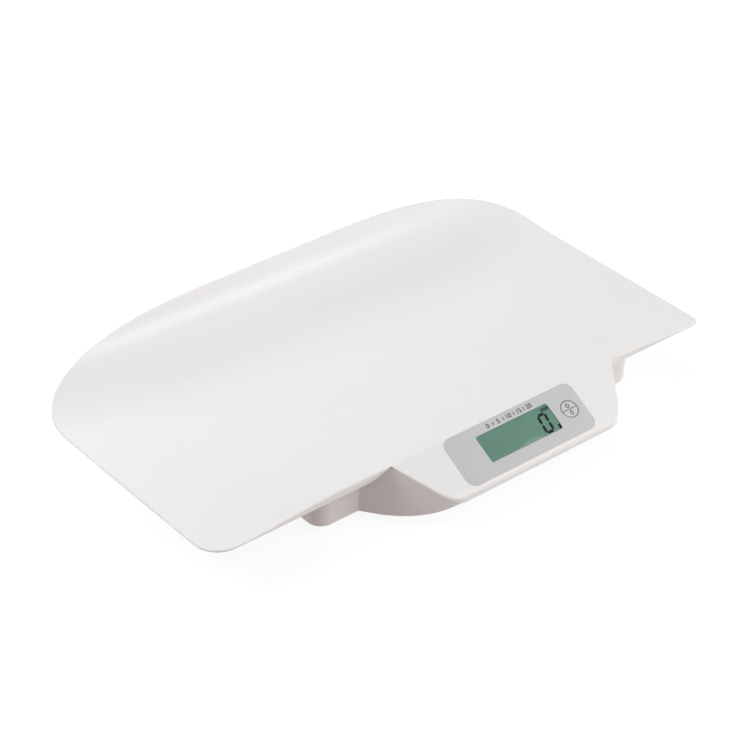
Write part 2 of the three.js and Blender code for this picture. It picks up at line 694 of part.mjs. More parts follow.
function baseBlock(inset, bottom, top) {
  const growAt = (z) => BASE_DRAFT * ((z - BASE_CLEARANCE) / (BASE_TOP - BASE_CLEARANCE)) - inset;
  const middle = bottom + BASE_EDGE_SHARE * BASE_EDGE;
  const edge = bottom + BASE_EDGE;
  return loft([
    { shape: baseOutline(growAt(bottom) - BASE_EDGE), z: bottom },
    { shape: baseOutline(growAt(middle) - BASE_EDGE_SHARE * BASE_EDGE), z: middle },
    { shape: baseOutline(growAt(edge)), z: edge },
    { shape: baseOutline(growAt(top)), z: top },
  ]);
}

// The belly's outline in Y and Z: flat, then an arc up to the apron's lip
function bellyProfile(inset, top) {
  const radius = BELLY_RADIUS - inset;
  const back = BASE_FRONT + BELLY_INTO_BLOCK;
  const sweep = Math.asin((APRON_REACH + BELLY_START - inset) / radius);
  const points = [[back, BELLY_CENTRE_Z - radius]];
  for (let i = 0; i <= BELLY_STEPS; i += 1) {
    const angle = sweep * (i / BELLY_STEPS);
    points.push([BELLY_START - radius * Math.sin(angle), BELLY_CENTRE_Z - radius * Math.cos(angle)]);
  }
  const front = -APRON_REACH - CUT_OVERRUN;
  points.push([front, top], [back, top]);
  return points;
}

function belly(inset, top) {
  const back = BASE_FRONT + BELLY_INTO_BLOCK;
  const wedge = barAlongX(bellyProfile(inset, top), APRON_CENTRE - HALF_LENGTH, APRON_CENTRE + HALF_LENGTH);
  return wedge.intersect(plate(apronPlan(inset, back), 0, top + CUT_OVERRUN));
}

function screwPost([x, y]) {
  const bottom = y < 0 ? BASE_CLEARANCE + BASE_WALL : BASE_CLEARANCE;
  return disc(POST_DIAMETER, x, y, bottom, POST_TOP);
}

function screwPostHoles([x, y]) {
  const counterbore = SCREW_HEAD_DIAMETER + 2 * SCREW_HEAD_GAP;
  return [
    disc(counterbore, x, y, 0, SHOULDER_HEIGHT),
    disc(SCREW_DIAMETER + 2 * FIT_GAP, x, y, 0, POST_TOP + CUT_OVERRUN),
  ];
}

function footWell({ x, y }) {
  return disc(CUP_DIAMETER + 2 * FIT_GAP + 2 * WELL_WALL, x, y, BASE_CLEARANCE, WELL_TOP, SIDES_LARGE);
}

function footHole({ x, y }) {
  return disc(CUP_DIAMETER + 2 * FIT_GAP, x, y, 0, WELL_TOP + CUT_OVERRUN, SIDES_LARGE);
}

function batteryBay(grow, bottom, top) {
  return box(
    BASE_CENTRE - BAY_LENGTH / 2 - grow, BASE_CENTRE + BAY_LENGTH / 2 + grow,
    BAY_CENTRE_Y - BAY_WIDTH / 2 - grow, BAY_CENTRE_Y + BAY_WIDTH / 2 + grow, bottom, top);
}

function batteryY(number) {
  return BAY_CENTRE_Y + BATTERY_PITCH * (number - (BATTERY_COUNT - 1) / 2);
}

function leadSlot(side, y) {
  const inner = BASE_CENTRE + side * (BAY_LENGTH / 2 - CUT_OVERRUN);
  const outer = BASE_CENTRE + side * (BAY_LENGTH / 2 + BAY_WALL + CUT_OVERRUN);
  return box(
    Math.min(inner, outer), Math.max(inner, outer), y - LEAD_SLOT / 2, y + LEAD_SLOT / 2,
    BATTERY_Z - LEAD_SLOT / 2, BATTERY_Z + LEAD_SLOT / 2);
}

// Two rails that the battery door slides in, closed at the front
function doorRails() {
  const edge = DOOR_LENGTH / 2 + FIT_GAP;
  const front = BAY_CENTRE_Y - DOOR_WIDTH / 2 - FIT_GAP;
  const back = BAY_CENTRE_Y + DOOR_WIDTH / 2;
  const lipTop = DOOR_BOTTOM - FIT_GAP;
  const lipBottom = lipTop - RAIL_LIP_HEIGHT;
  const sides = [-1, 1].flatMap((side) => {
    const inner = BASE_CENTRE + side * edge;
    const outer = BASE_CENTRE + side * (edge + RAIL_WALL);
    const tip = BASE_CENTRE + side * (edge - RAIL_LIP);
    return [
      box(Math.min(inner, outer), Math.max(inner, outer), front, back, lipBottom, BASE_FLOOR),
      box(Math.min(tip, outer), Math.max(tip, outer), front, back, lipBottom, lipTop),
    ];
  });
  const stop = box(
    BASE_CENTRE - edge - RAIL_WALL, BASE_CENTRE + edge + RAIL_WALL,
    front - RAIL_WALL, front, lipBottom, BASE_FLOOR);
  return [...sides, stop];
}

function unitPosts() {
  const across = UNIT_BOARD_LENGTH / 2 - UNIT_POST_DIAMETER / 2;
  return [-1, 1].map((side) => disc(
    UNIT_POST_DIAMETER, UNIT_X + side * across, BAY_CENTRE_Y, BASE_CLEARANCE + BASE_WALL / 2,
    UNIT_BOARD_BOTTOM - FIT_GAP));
}

function bottomCover() {
  const shell = joined([baseBlock(0, BASE_CLEARANCE, BASE_TOP), belly(0, BASE_TOP)]);
  const hollow = joined([baseBlock(BASE_WALL, BASE_FLOOR, BASE_TOP + CUT_OVERRUN),
    belly(BASE_WALL, BASE_TOP + CUT_OVERRUN)]);
  const above = [
    traySheet(-BACK_RADIUS / 2, SHEET + SEAM_GAP),
    apronBand(-BACK_RADIUS, APRON_LIP + SEAM_GAP, SKIRT_WALL + SEAM_GAP),
  ];
  const inside = joined([
    batteryBay(BAY_WALL, BASE_CLEARANCE, BAY_ROOF + BAY_WALL),
    ...coverScrewPlaces().map(screwPost), ...footPlaces().map(footWell), ...doorRails(), ...unitPosts(),
  ]);
  const holes = [
    batteryBay(0, 0, BAY_ROOF),
    leadSlot(-1, batteryY(0)), leadSlot(1, batteryY(BATTERY_COUNT - 1)),
    disc(UNIT_DIAMETER + 2 * FIT_GAP, UNIT_X, BAY_CENTRE_Y, 0, BASE_FLOOR + CUT_OVERRUN, SIDES_LARGE),
    ...coverScrewPlaces().flatMap(screwPostHoles), ...footPlaces().map(footHole),
  ];
  return named("bottom_cover", cut(cut(shell, [hollow, ...above]).add(inside), holes), whitePlastic);
}

// Display and key, drawn flat and laid on the apron's slope
function displayPieces() {
  const group = new THREE.Group();
  group.position.set(APRON_CENTRE, 0, CREASE_TOP);
  group.rotation.x = APRON_SLOPE;
  const keyHole = disc(
    KEY_DIAMETER, KEY_FROM_CENTRE, -KEY_FROM_CREASE, -RECESS_DEPTH, CUT_OVERRUN, SIDES_LARGE);
  const opening = roundedRectangle(WINDOW_LENGTH, WINDOW_HEIGHT, WINDOW_CORNER, 0, -WINDOW_MIDDLE);
  const film = roundedRectangle(OVERLAY_LENGTH, OVERLAY_HEIGHT, OVERLAY_CORNER, 0, -OVERLAY_MIDDLE);
  const overlay = cut(
    plate(film, -OVERLAY_THICKNESS, 0), [plate(opening, -RECESS_DEPTH, CUT_OVERRUN), keyHole]);
  group.add(named("panel_overlay", overlay, overlayFilm));

  const lens = roundedRectangle(
    WINDOW_LENGTH - 2 * FIT_GAP, WINDOW_HEIGHT - 2 * FIT_GAP, WINDOW_CORNER, 0, -WINDOW_MIDDLE);
  group.add(named("lcd_window", plate(lens, -SHEET, 0), clearPlastic));

  const glassBack = GLASS_DEPTH + GLASS_THICKNESS;
  const glassY = WINDOW_MIDDLE;
  const glass = box(-GLASS_LENGTH / 2, GLASS_LENGTH / 2, -glassY - GLASS_HEIGHT / 2,
    -glassY + GLASS_HEIGHT / 2, -glassBack, -GLASS_DEPTH);
  group.add(named("lcd_glass", glass, displayGreen));

  const innerX = GLASS_LENGTH / 2 + FIT_GAP;
  const innerY = GLASS_HEIGHT / 2 + FIT_GAP;
  const holderBack = BOARD_DEPTH - FIT_GAP;
  const holderOuter = box(-innerX - HOLDER_WALL, innerX + HOLDER_WALL, -glassY - innerY - HOLDER_WALL,
    -glassY + innerY + HOLDER_WALL, -holderBack, -GLASS_DEPTH);
  const holderInner = box(-innerX, innerX, -glassY - innerY, -glassY + innerY,
    -holderBack - CUT_OVERRUN, -GLASS_DEPTH + CUT_OVERRUN);
  group.add(named("lcd_holder", holderOuter.subtract(holderInner), whitePlastic));

  const zebraY = -glassY + GLASS_HEIGHT / 2 - ZEBRA_WIDTH;
  const zebra = box(-ZEBRA_LENGTH / 2, ZEBRA_LENGTH / 2, zebraY - ZEBRA_WIDTH / 2,
    zebraY + ZEBRA_WIDTH / 2, -holderBack, -glassBack - FIT_GAP);
  group.add(named("zebra_connector", zebra, greyRubber));
  group.add(...boardPieces(), ...keyPieces());
  return group;
}

function boardPieces() {
  const middle = -WINDOW_MIDDLE;
  const under = BOARD_DEPTH + BOARD_THICKNESS;
  const holes = boardScrewPlaces().map(([x, y]) =>
    disc(BOARD_SCREW_DIAMETER + 2 * FIT_GAP, x, y, -under - CUT_OVERRUN, -BOARD_DEPTH + CUT_OVERRUN));
  const half = BOARD_LENGTH / 2;
  const board = box(
    -half, half, middle - BOARD_HEIGHT / 2, middle + BOARD_HEIGHT / 2, -under, -BOARD_DEPTH);
  const partTop = -under - FIT_GAP;
  const low = middle - PART_ROW_SHARE * BOARD_HEIGHT / 2;
  const chipDome = turned(CHIP_DOME_SHARES.map(([radiusShare, heightShare]) =>
    [radiusShare * CHIP_DIAMETER / 2, -heightShare * CHIP_HEIGHT]), SIDES_LARGE);
  const crystalShape = roundedRectangle(
    CRYSTAL_LENGTH, CRYSTAL_WIDTH, CRYSTAL_ROUND_SHARE * CRYSTAL_WIDTH / 2, CRYSTAL_PLACE_SHARE * half, low);
  const capacitors = CAPACITOR_PLACE_SHARES.map((share, i) => named(`capacitor_${i + 1}`,
    disc(CAPACITOR_DIAMETER, share * half, low, partTop - CAPACITOR_HEIGHT, partTop), blackResin));
  return [
    named("main_board", cut(board, holes), boardGreen),
    named("controller_chip", chipDome.translate(0, low, partTop), blackResin),
    named("crystal", plate(crystalShape, partTop - CRYSTAL_HEIGHT, partTop), nickel),
    ...capacitors,
    ...boardScrewPlaces().map(([x, y], i) => {
      const screw = screwShape(BOARD_SCREW_HEAD_DIAMETER, BOARD_SCREW_HEAD_HEIGHT, BOARD_SCREW_DIAMETER,
        BOARD_SCREW_LENGTH + BOARD_THICKNESS - FIT_GAP);
      return named(`board_screw_${i + 1}`, screw.translate(x, y, partTop), steel);
    }),
  ];
}

// A pan-head screw, its head below zero and its shank above, with a recess in the head
function screwShape(headDiameter, headHeight, diameter, length) {
  const recessRadius = Math.min(SCREW_RECESS_DIAMETER, diameter) / 2;
  const recessDepth = Math.min(SCREW_RECESS_DEPTH, headHeight / 2);
  return turned([
    [0, -headHeight + recessDepth], [recessRadius, -headHeight],
    [SCREW_HEAD_FLAT_SHARE * headDiameter / 2, -headHeight],
    [headDiameter / 2, -SCREW_HEAD_SIDE_SHARE * headHeight], [headDiameter / 2, 0],
    [diameter / 2, 0], [diameter / 2, length - diameter / 2], [0, length],
  ]);
}

// The key with its flange and plunger, and the tact switch below it
function keyPieces() {
  const capRadius = KEY_DIAMETER / 2 - FIT_GAP;
  const flangeTop = -GLASS_DEPTH;
  const stemTop = -BOARD_DEPTH + FIT_GAP + SWITCH_HEIGHT + SWITCH_STEM_PROUD;
  const key = turned([
    [0, stemTop + FIT_GAP], [KEY_PLUNGER_DIAMETER / 2, stemTop + FIT_GAP],
    [KEY_PLUNGER_DIAMETER / 2, flangeTop - KEY_FLANGE],
    [capRadius + KEY_FLANGE_REACH, flangeTop - KEY_FLANGE], [capRadius + KEY_FLANGE_REACH, flangeTop],
    [capRadius, flangeTop], [capRadius, 0], [0, 0],
  ], SIDES_LARGE);
  const place = [KEY_FROM_CENTRE, -KEY_FROM_CREASE, 0];
  const bodyBottom = -BOARD_DEPTH + FIT_GAP;
  return [
    named("zero_key", key.translate(...place), keyPlastic),
    named("zero_switch_body", switchBody(bodyBottom, 1).translate(...place), blackResin),
    named("zero_switch_stem", switchStem(bodyBottom + SWITCH_HEIGHT, 1).translate(...place), keyPlastic),
  ];
}

// A tact switch: direction 1 opens upwards, -1 downwards; base is the face that sits on its board
function switchBody(base, direction) {
  const face = base + direction * SWITCH_HEIGHT;
  const half = SWITCH_SIDE / 2;
  const bore = SWITCH_STEM_DIAMETER + 2 * FIT_GAP;
  const boreEnd = face - direction * SWITCH_BORE_DEPTH;
  const past = face + direction * CUT_OVERRUN;
  const body = box(-half, half, -half, half, Math.min(base, face), Math.max(base, face));
  return geometryOf(body.subtract(disc(bore, 0, 0, Math.min(boreEnd, past), Math.max(boreEnd, past))));
}

function switchStem(face, direction) {
  const tip = face + direction * SWITCH_STEM_PROUD;
  const root = face - direction * SWITCH_BORE_DEPTH / 2;
  return geometryOf(disc(SWITCH_STEM_DIAMETER, 0, 0, Math.min(tip, root), Math.max(tip, root)));
}

// Feet: rubber pad, cup and load cell, one above the other
function footPieces({ place, x, y }) {
  const grooveInner = PAD_GROOVE_SHARE * PAD_DIAMETER / 2;
  const pad = turned([
    [0, 0], [grooveInner, 0], [grooveInner, PAD_GROOVE_DEPTH],
    [grooveInner + PAD_GROOVE_WIDTH, PAD_GROOVE_DEPTH], [grooveInner + PAD_GROOVE_WIDTH, 0],
    [PAD_DIAMETER / 2, 0], [PAD_DIAMETER / 2, PAD_HEIGHT], [0, PAD_HEIGHT],
  ], SIDES_LARGE);
  const pocket = PAD_DIAMETER / 2 + FIT_GAP;
  const cupTop = CUP_BOTTOM + CUP_HEIGHT;
  const cup = turned([
    [0, PAD_HEIGHT + FIT_GAP], [pocket, PAD_HEIGHT + FIT_GAP], [pocket, CUP_BOTTOM],
    [CUP_DIAMETER / 2, CUP_BOTTOM], [CUP_DIAMETER / 2, cupTop], [CUP_POST_DIAMETER / 2, cupTop],
    [CUP_POST_DIAMETER / 2, WELL_TOP], [0, WELL_TOP],
  ], SIDES_LARGE);
  return [
    named(`foot_pad_${place}`, pad.translate(x, y, 0), greyRubber),
    named(`foot_cup_${place}`, cup.translate(x, y, 0), whitePlastic),
    named(`load_cell_${place}`, loadCell(x, y), steel),
  ];
}

// A half-bridge load cell: a square frame with a tongue that the foot's post bears on
function loadCell(x, y) {
  const shape = roundedRectangle(CELL_SIDE, CELL_SIDE, CELL_CORNER, x, y);
  const outer = CELL_SIDE / 2 - CELL_FRAME;
  const inner = CELL_TONGUE / 2;
  const slotEnd = outer - CELL_SLOT;
  const slot = new THREE.Path([
    [-outer, outer], [-outer, -outer], [outer, -outer], [outer, outer], [inner, outer],
    [inner, slotEnd], [slotEnd, slotEnd], [slotEnd, -slotEnd], [-slotEnd, -slotEnd],
    [-slotEnd, slotEnd], [-inner, slotEnd], [-inner, outer],
  ].map(([px, py]) => new THREE.Vector2(x + px, y + py)));
  shape.holes.push(slot);
  return plate(shape, WELL_TOP + FIT_GAP, WELL_TOP + FIT_GAP + CELL_THICKNESS);
}

function coverScrews() {
  return coverScrewPlaces().map(([x, y], i) => {
    const screw = screwShape(SCREW_HEAD_DIAMETER, SCREW_HEAD_HEIGHT, SCREW_DIAMETER, SCREW_LENGTH);
    return named(`cover_screw_${i + 1}`, screw.translate(x, y, SHOULDER_HEIGHT - FIT_GAP), steel);
  });
}

// Batteries lie along X, end for end in turn, between sprung contacts
function battery(number) {
  const direction = number % 2 === 0 ? -1 : 1;
  const radius = BATTERY_DIAMETER / 2;
  const nubRadius = BATTERY_NUB_DIAMETER / 2;
  const half = BATTERY_LENGTH / 2;
  const shoulder = half - BATTERY_NUB;
  const can = turned([
    [0, -half], [radius - BATTERY_EDGE, -half], [radius, -half + BATTERY_EDGE],
    [radius, shoulder - BATTERY_EDGE], [radius - BATTERY_EDGE, shoulder], [nubRadius, shoulder],
    [nubRadius, half], [0, half],
  ], SIDES_LARGE);
  can.rotateY(direction * Math.PI / 2);
  can.translate(BASE_CENTRE, batteryY(number), BATTERY_Z);
  return named(`battery_${number + 1}`, can, batterySkin);
}

// A sprung contact: a bent strip against the bay's end wall, bulging towards the batteries
function contact(side, y, width) {
  const wall = BASE_CENTRE + side * (BAY_LENGTH / 2 - FIT_GAP);
  const half = CONTACT_HEIGHT / 2;
  const flat = CONTACT_FLAT / 2;
  const outline = [
    [0, -half], [CONTACT_STOCK, -half], [CONTACT_REACH, -flat], [CONTACT_REACH, flat],
    [CONTACT_STOCK, half], [0, half], [CONTACT_REACH - CONTACT_STOCK, flat],
    [CONTACT_REACH - CONTACT_STOCK, -flat],
  ].map(([reach, z]) => new THREE.Vector2(wall - side * reach, BATTERY_Z + z));
  return slabAlongY(new THREE.Shape(outline), y - width / 2, y + width / 2);
}

function batteryPieces() {
  const pieces = [];
  for (let number = 0; number < BATTERY_COUNT; number += 1) {
    pieces.push(battery(number));
  }
  const last = BATTERY_COUNT - 1;
  const pair = BATTERY_PITCH + CONTACT_WIDTH;
  const between = (number) => (batteryY(number) + batteryY(number + 1)) / 2;
  return [
    ...pieces,
    named("battery_plus_contact", contact(-1, batteryY(0), CONTACT_WIDTH), nickel),
    named("battery_minus_contact", contact(1, batteryY(last), CONTACT_WIDTH), nickel),
    named("battery_bridge_1", contact(1, between(0), pair), nickel),
    named("battery_bridge_2", contact(-1, between(1), pair), nickel),
    named("battery_door", batteryDoor(), whitePlastic),
  ];
}

function batteryDoor() {
  const shape = roundedRectangle(DOOR_LENGTH, DOOR_WIDTH, DOOR_CORNER, BASE_CENTRE, BAY_CENTRE_Y);
  const middle = BAY_CENTRE_Y + DOOR_RIDGE_PLACE_SHARE * DOOR_WIDTH / 2;
  const ridges = [];
  for (let i = 0; i < DOOR_RIDGE_COUNT; i += 1) {
    const y = middle + (i - DOOR_RIDGE_COUNT / 2) * DOOR_RIDGE_PITCH;
    ridges.push(box(BASE_CENTRE - DOOR_RIDGE_LENGTH / 2, BASE_CENTRE + DOOR_RIDGE_LENGTH / 2,
      y, y + DOOR_RIDGE, DOOR_BOTTOM - DOOR_RIDGE_HEIGHT, DOOR_BOTTOM + DOOR_THICKNESS / 2));
  }
  return joined([plate(shape, DOOR_BOTTOM, DOOR_TOP), ...ridges]);
}

// Unit selector: a button through the base's floor, and a tact switch that hangs from a small board
function unitPieces() {
  const radius = UNIT_DIAMETER / 2;
  const plunger = SWITCH_STEM_DIAMETER / 2;
  const flangeTop = UNIT_FLANGE_BOTTOM + UNIT_FLANGE;
  const button = turned([
    [0, BASE_CLEARANCE - UNIT_PROUD], [radius, BASE_CLEARANCE - UNIT_PROUD],
    [radius, UNIT_FLANGE_BOTTOM], [radius + UNIT_FLANGE_REACH, UNIT_FLANGE_BOTTOM],
    [radius + UNIT_FLANGE_REACH, flangeTop], [plunger, flangeTop],
    [plunger, flangeTop + UNIT_PLUNGER], [0, flangeTop + UNIT_PLUNGER],
  ], SIDES_LARGE);
  const boardHalf = UNIT_BOARD_LENGTH / 2;
  const board = box(UNIT_X - boardHalf, UNIT_X + boardHalf, BAY_CENTRE_Y - UNIT_BOARD_WIDTH / 2,
    BAY_CENTRE_Y + UNIT_BOARD_WIDTH / 2, UNIT_BOARD_BOTTOM, UNIT_BOARD_BOTTOM + UNIT_BOARD_THICKNESS);
  const body = switchBody(UNIT_BOARD_BOTTOM - FIT_GAP, -1).translate(UNIT_X, BAY_CENTRE_Y, 0);
  const stem = switchStem(UNIT_SWITCH_BOTTOM, -1).translate(UNIT_X, BAY_CENTRE_Y, 0);
  return [
    named("unit_button", button.translate(UNIT_X, BAY_CENTRE_Y, 0), greyRubber),
    named("unit_switch_body", body, blackResin),
    named("unit_switch_stem", stem, keyPlastic),
    named("unit_board", board, boardGreen),
  ];
}

// A smooth route, straight at both ends, that turns at each point and stays in the space between them
function softRoute(points) {
  const halfway = (i) => points[i].clone().lerp(points[i + 1], 1 / 2);
  const last = points.length - 1;
  const route = new THREE.CurvePath();
  route.add(new THREE.LineCurve3(points[0], halfway(0)));
  for (let i = 1; i < last; i += 1) {
    route.add(new THREE.QuadraticBezierCurve3(halfway(i - 1), points[i], halfway(i)));
  }
  route.add(new THREE.LineCurve3(halfway(last - 1), points[last]));
  return route;
}

// Leads lie on the base's floor and climb to the underside of the main board
function lead(name, points, finish) {
  const circle = new THREE.Shape();
  circle.absarc(0, 0, LEAD_DIAMETER / 2, 0, 2 * Math.PI);
  const options = {
    steps: LEAD_STEPS, extrudePath: softRoute(points), bevelEnabled: false, curveSegments: LEAD_SIDES / 2,
  };
  return named(name, solid(new THREE.ExtrudeGeometry(circle, options)), finish);
}

// The last stretch of each lead, up to the board at a share of its half length
function climb(endShare) {
  const across = endShare * BOARD_LENGTH / 2;
  const run = WINDOW_MIDDLE - LEAD_ROW_SHARE * BOARD_HEIGHT;
  const under = BOARD_DEPTH + BOARD_THICKNESS + FIT_GAP;
  const foot = onApron(across, run, under + LEAD_FOOT_SHARE * BOARD_HEIGHT);
  foot.y += BELLY_START;
  return [foot, onApron(across, run, under + LEAD_NECK_SHARE * BOARD_HEIGHT), onApron(across, run, under)];
}

function onFloor(x, y) {
  return new THREE.Vector3(x, y, LEAD_Z);
}

// A load cell's lead: over the foot's well, along a lane on the floor and up to the board
function cellLead({ place, x, y }) {
  const side = Math.sign(x - BASE_CENTRE);
  const rear = y > BASE_FRONT + BASE_DEPTH / 2;
  const cellZ = WELL_TOP + FIT_GAP + CELL_THICKNESS + FIT_GAP + LEAD_DIAMETER / 2;
  const wellEdge = CUP_DIAMETER / 2 + FIT_GAP + WELL_WALL;
  const lane = BASE_CENTRE + side * LEAD_LANE_SHARE * BASE_LENGTH / 2;
  const floorRun = rear
    ? [onFloor(lane, y - FOOT_INSET_Y), onFloor(lane - side * LEAD_LANE_OFFSET, BASE_FRONT + FOOT_INSET_Y),
      onFloor(lane - side * LEAD_TURN_SHARE * FOOT_INSET_X, BASE_FRONT)]
    : [onFloor(lane + side * LEAD_FRONT_OFFSET, y - LEAD_TURN_SHARE * FOOT_INSET_Y)];
  const endShare = rear ? CELL_LEAD_END_SHARES.rear : CELL_LEAD_END_SHARES.front;
  const points = [
    new THREE.Vector3(x - side * LEAD_START_SHARE * CELL_SIDE / 2, y, cellZ),
    new THREE.Vector3(x - side * (wellEdge + LEAD_DIAMETER), y, cellZ),
    ...floorRun, ...climb(side * endShare),
  ];
  return lead(`cell_lead_${place}`, points, greyLead);
}

// A battery lead: out through its slot in the bay's wall, down to the floor and forward
function batteryLeadPath(side, y) {
  const bayEdge = BAY_LENGTH / 2 + BAY_WALL;
  const front = BAY_CENTRE_Y - BAY_WIDTH / 2 - BAY_WALL;
  return [
    new THREE.Vector3(BASE_CENTRE + side * (BAY_LENGTH / 2 + FIT_GAP), y, BATTERY_Z),
    new THREE.Vector3(BASE_CENTRE + side * (bayEdge + LEAD_WALL_BEND), y, BATTERY_Z),
    onFloor(BASE_CENTRE + side * (bayEdge + LEAD_FLOOR_BEND), front),
    onFloor(BASE_CENTRE + side * LEAD_TURN_SHARE * bayEdge, BASE_FRONT),
    ...climb(side * BATTERY_LEAD_END_SHARE),
  ];
}

function unitLeadPath() {
  const z = UNIT_BOARD_BOTTOM + UNIT_BOARD_THICKNESS + FIT_GAP + LEAD_DIAMETER / 2;
  const front = BAY_CENTRE_Y - BAY_WIDTH / 2 - BAY_WALL;
  return [
    new THREE.Vector3(UNIT_X, BAY_CENTRE_Y, z),
    new THREE.Vector3(UNIT_X, BAY_CENTRE_Y - UNIT_BOARD_WIDTH, z),
    onFloor(UNIT_X - LEAD_LANE_OFFSET, front - FOOT_INSET_Y),
    onFloor(LEAD_OUT_SHARE * UNIT_X, BASE_FRONT), ...climb(UNIT_LEAD_END_SHARE),
  ];
}

function leads() {
  return [
    ...footPlaces().map(cellLead),
    lead("battery_lead_plus", batteryLeadPath(-1, batteryY(0)), redLead),
    lead("battery_lead_minus", batteryLeadPath(1, batteryY(BATTERY_COUNT - 1)), blackLead),
    lead("unit_lead", unitLeadPath(), greyLead),
  ];
}

// The whole scale
const scale = new THREE.Group();
scale.position.y = -(TRAY_BACK - APRON_REACH) / 2;
scale.add(tray(), bottomCover(), displayPieces());
scale.add(...footPlaces().flatMap(footPieces), ...coverScrews());
scale.add(...batteryPieces(), ...unitPieces(), ...leads());

const root = new THREE.Group();
root.add(scale);
export default root;
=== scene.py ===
"""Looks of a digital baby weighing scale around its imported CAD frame.

Shapes are worked out in millimetres, with Y zero at the tray's straight front edge as in the CAD source.
`placed` turns them into metres in the row frame.
"""
import math

import bmesh
import bpy
import numpy as np
from mathutils import Matrix, Vector


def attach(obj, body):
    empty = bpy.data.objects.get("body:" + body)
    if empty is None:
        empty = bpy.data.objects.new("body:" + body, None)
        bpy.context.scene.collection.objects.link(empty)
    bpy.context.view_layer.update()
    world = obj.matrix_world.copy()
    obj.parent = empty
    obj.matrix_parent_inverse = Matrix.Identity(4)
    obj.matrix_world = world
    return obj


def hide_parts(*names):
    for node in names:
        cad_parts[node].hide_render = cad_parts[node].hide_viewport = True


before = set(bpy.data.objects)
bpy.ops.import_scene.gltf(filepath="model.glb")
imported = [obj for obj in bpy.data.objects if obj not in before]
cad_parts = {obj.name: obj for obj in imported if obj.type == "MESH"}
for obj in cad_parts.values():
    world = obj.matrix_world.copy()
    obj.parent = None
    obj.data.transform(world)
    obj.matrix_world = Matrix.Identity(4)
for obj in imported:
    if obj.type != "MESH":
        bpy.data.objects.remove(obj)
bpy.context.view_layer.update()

MM = 0.001
TRAY_HALF = 276.6
FLOOR_RUN = 210.4
BACK_RADIUS = 83.0
BACK_SWEEP = math.radians(60.4)
BACK_CORNER_LENGTH = 206.0
BACK_CORNER_RUN = 82.0
BACK_CORNER_POWER = 2.5
FRONT_CORNER = {-1: 24.6, 1: 8.0}
SHEET = 2.4
EDGE_HEIGHT = 52.2
CROWN_RISE = 5.6
CROWN_CENTRE = 12.0
CROWN_FULL_HALF = 155.0
CROWN_END_HALF = 258.0
CROWN_RUN = 110.0
SKIRT_END_RUN = 15.5
APEX_EDGE = 1.0
APRON_CENTRE = 35.5
APRON_HALF = 127.0
APRON_TAPER = {-1: 0.7, 1: 0.625}
APRON_SLOPE = math.radians(30)
APRON_LENGTH = 53.2
APRON_CORNER = {-1: 13.0, 1: 16.0}
APRON_LIP = 5.2
CREASE_DECK_SIDE = 7.0
CREASE_SLOPE_SIDE = 0.6
CREASE_FADE = 16.0

DECK_TOP = EDGE_HEIGHT + SHEET
BACK_RUN = FLOOR_RUN + BACK_RADIUS * BACK_SWEEP
SIDE_END = BACK_RUN - BACK_CORNER_RUN
CREASE_TOP = DECK_TOP + CROWN_RISE
APRON_REACH = APRON_LENGTH * math.cos(APRON_SLOPE)
TRAY_BACK = FLOOR_RUN + (BACK_RADIUS + SHEET) * math.sin(BACK_SWEEP)
SHIFT = (TRAY_BACK - APRON_REACH) / 2

BASE_CENTRE = 30.2
BASE_LENGTH = 355.6
BASE_FRONT = 24.0
BASE_DEPTH = 198.0
BASE_BACK = BASE_FRONT + BASE_DEPTH
BLOCK_LEFT, BLOCK_RIGHT, BLOCK_FRONT = -151.5, 213.0, 23.7
BLOCK_CORNER = 14.0
BLOCK_DRAFT = 2.5
BASE_EDGE = 2.0
BASE_WALL = 2.4
BASE_CLEARANCE = 6.0
BELLY_RADIUS = 83.6
BELLY_START = 12.0
BELLY_INNER_RADIUS = 72.6
BELLY_INNER_START = 8.0
BELLY_INTO_BLOCK = 8.0
SEAM_GAP = 0.35
TUB_SEAM = 0.15
FIT_GAP = 0.3

OVERLAY_LENGTH, OVERLAY_HEIGHT, OVERLAY_CORNER = 147.4, 48.8, 9.5
OVERLAY_THICKNESS = 0.5
OVERLAY_TOP = 0.3
OVERLAY_MIDDLE = OVERLAY_TOP + OVERLAY_HEIGHT / 2
WINDOW_LENGTH, WINDOW_HEIGHT, WINDOW_CORNER = 82.0, 26.9, 2.0
WINDOW_TOP = 9.9
WINDOW_MIDDLE = WINDOW_TOP + WINDOW_HEIGHT / 2
LENS_THICKNESS = 0.6
GLASS_LENGTH, GLASS_HEIGHT, GLASS_THICKNESS = 88.0, 32.0, 2.8
GLASS_DEPTH = SHEET + FIT_GAP
PICTURE_DEPTH = 0.7
PRINT_GAP = 0.12
KEY_PLACE = (58.0, -24.2)
KEY_HOLE_RADIUS = 8.9
KEY_RADIUS = KEY_HOLE_RADIUS - FIT_GAP

POST_TOP = 30.0
SHOULDER_HEIGHT = 24.0
FOOT_INSET_X, FOOT_INSET_Y = 28, 29
BOARD_SCREW_X, BOARD_SCREW_Y = 70, 14
FRONT_SCREW_SHARES = (0.756, -0.26)
BASE_SCREW_SHARES = ((0.506, 0.1), (0.9, 0.5), (0.562, 0.92))
SIDES = (-1, 1)
FOOT_PLACES = {
    f"{row}_{side}": (BASE_CENTRE + sx * (BASE_LENGTH / 2 - FOOT_INSET_X), y)
    for row, y in (("front", BASE_FRONT + FOOT_INSET_Y), ("rear", BASE_BACK - FOOT_INSET_Y))
    for side, sx in (("left", -1), ("right", 1))}
BOARD_SCREWS = [(sx * BOARD_SCREW_X, sy * BOARD_SCREW_Y - WINDOW_MIDDLE) for sy in (1, -1) for sx in SIDES]
SCREW_PLACES = [(APRON_CENTRE + s * FRONT_SCREW_SHARES[0] * APRON_HALF, FRONT_SCREW_SHARES[1] * APRON_REACH)
                for s in SIDES]
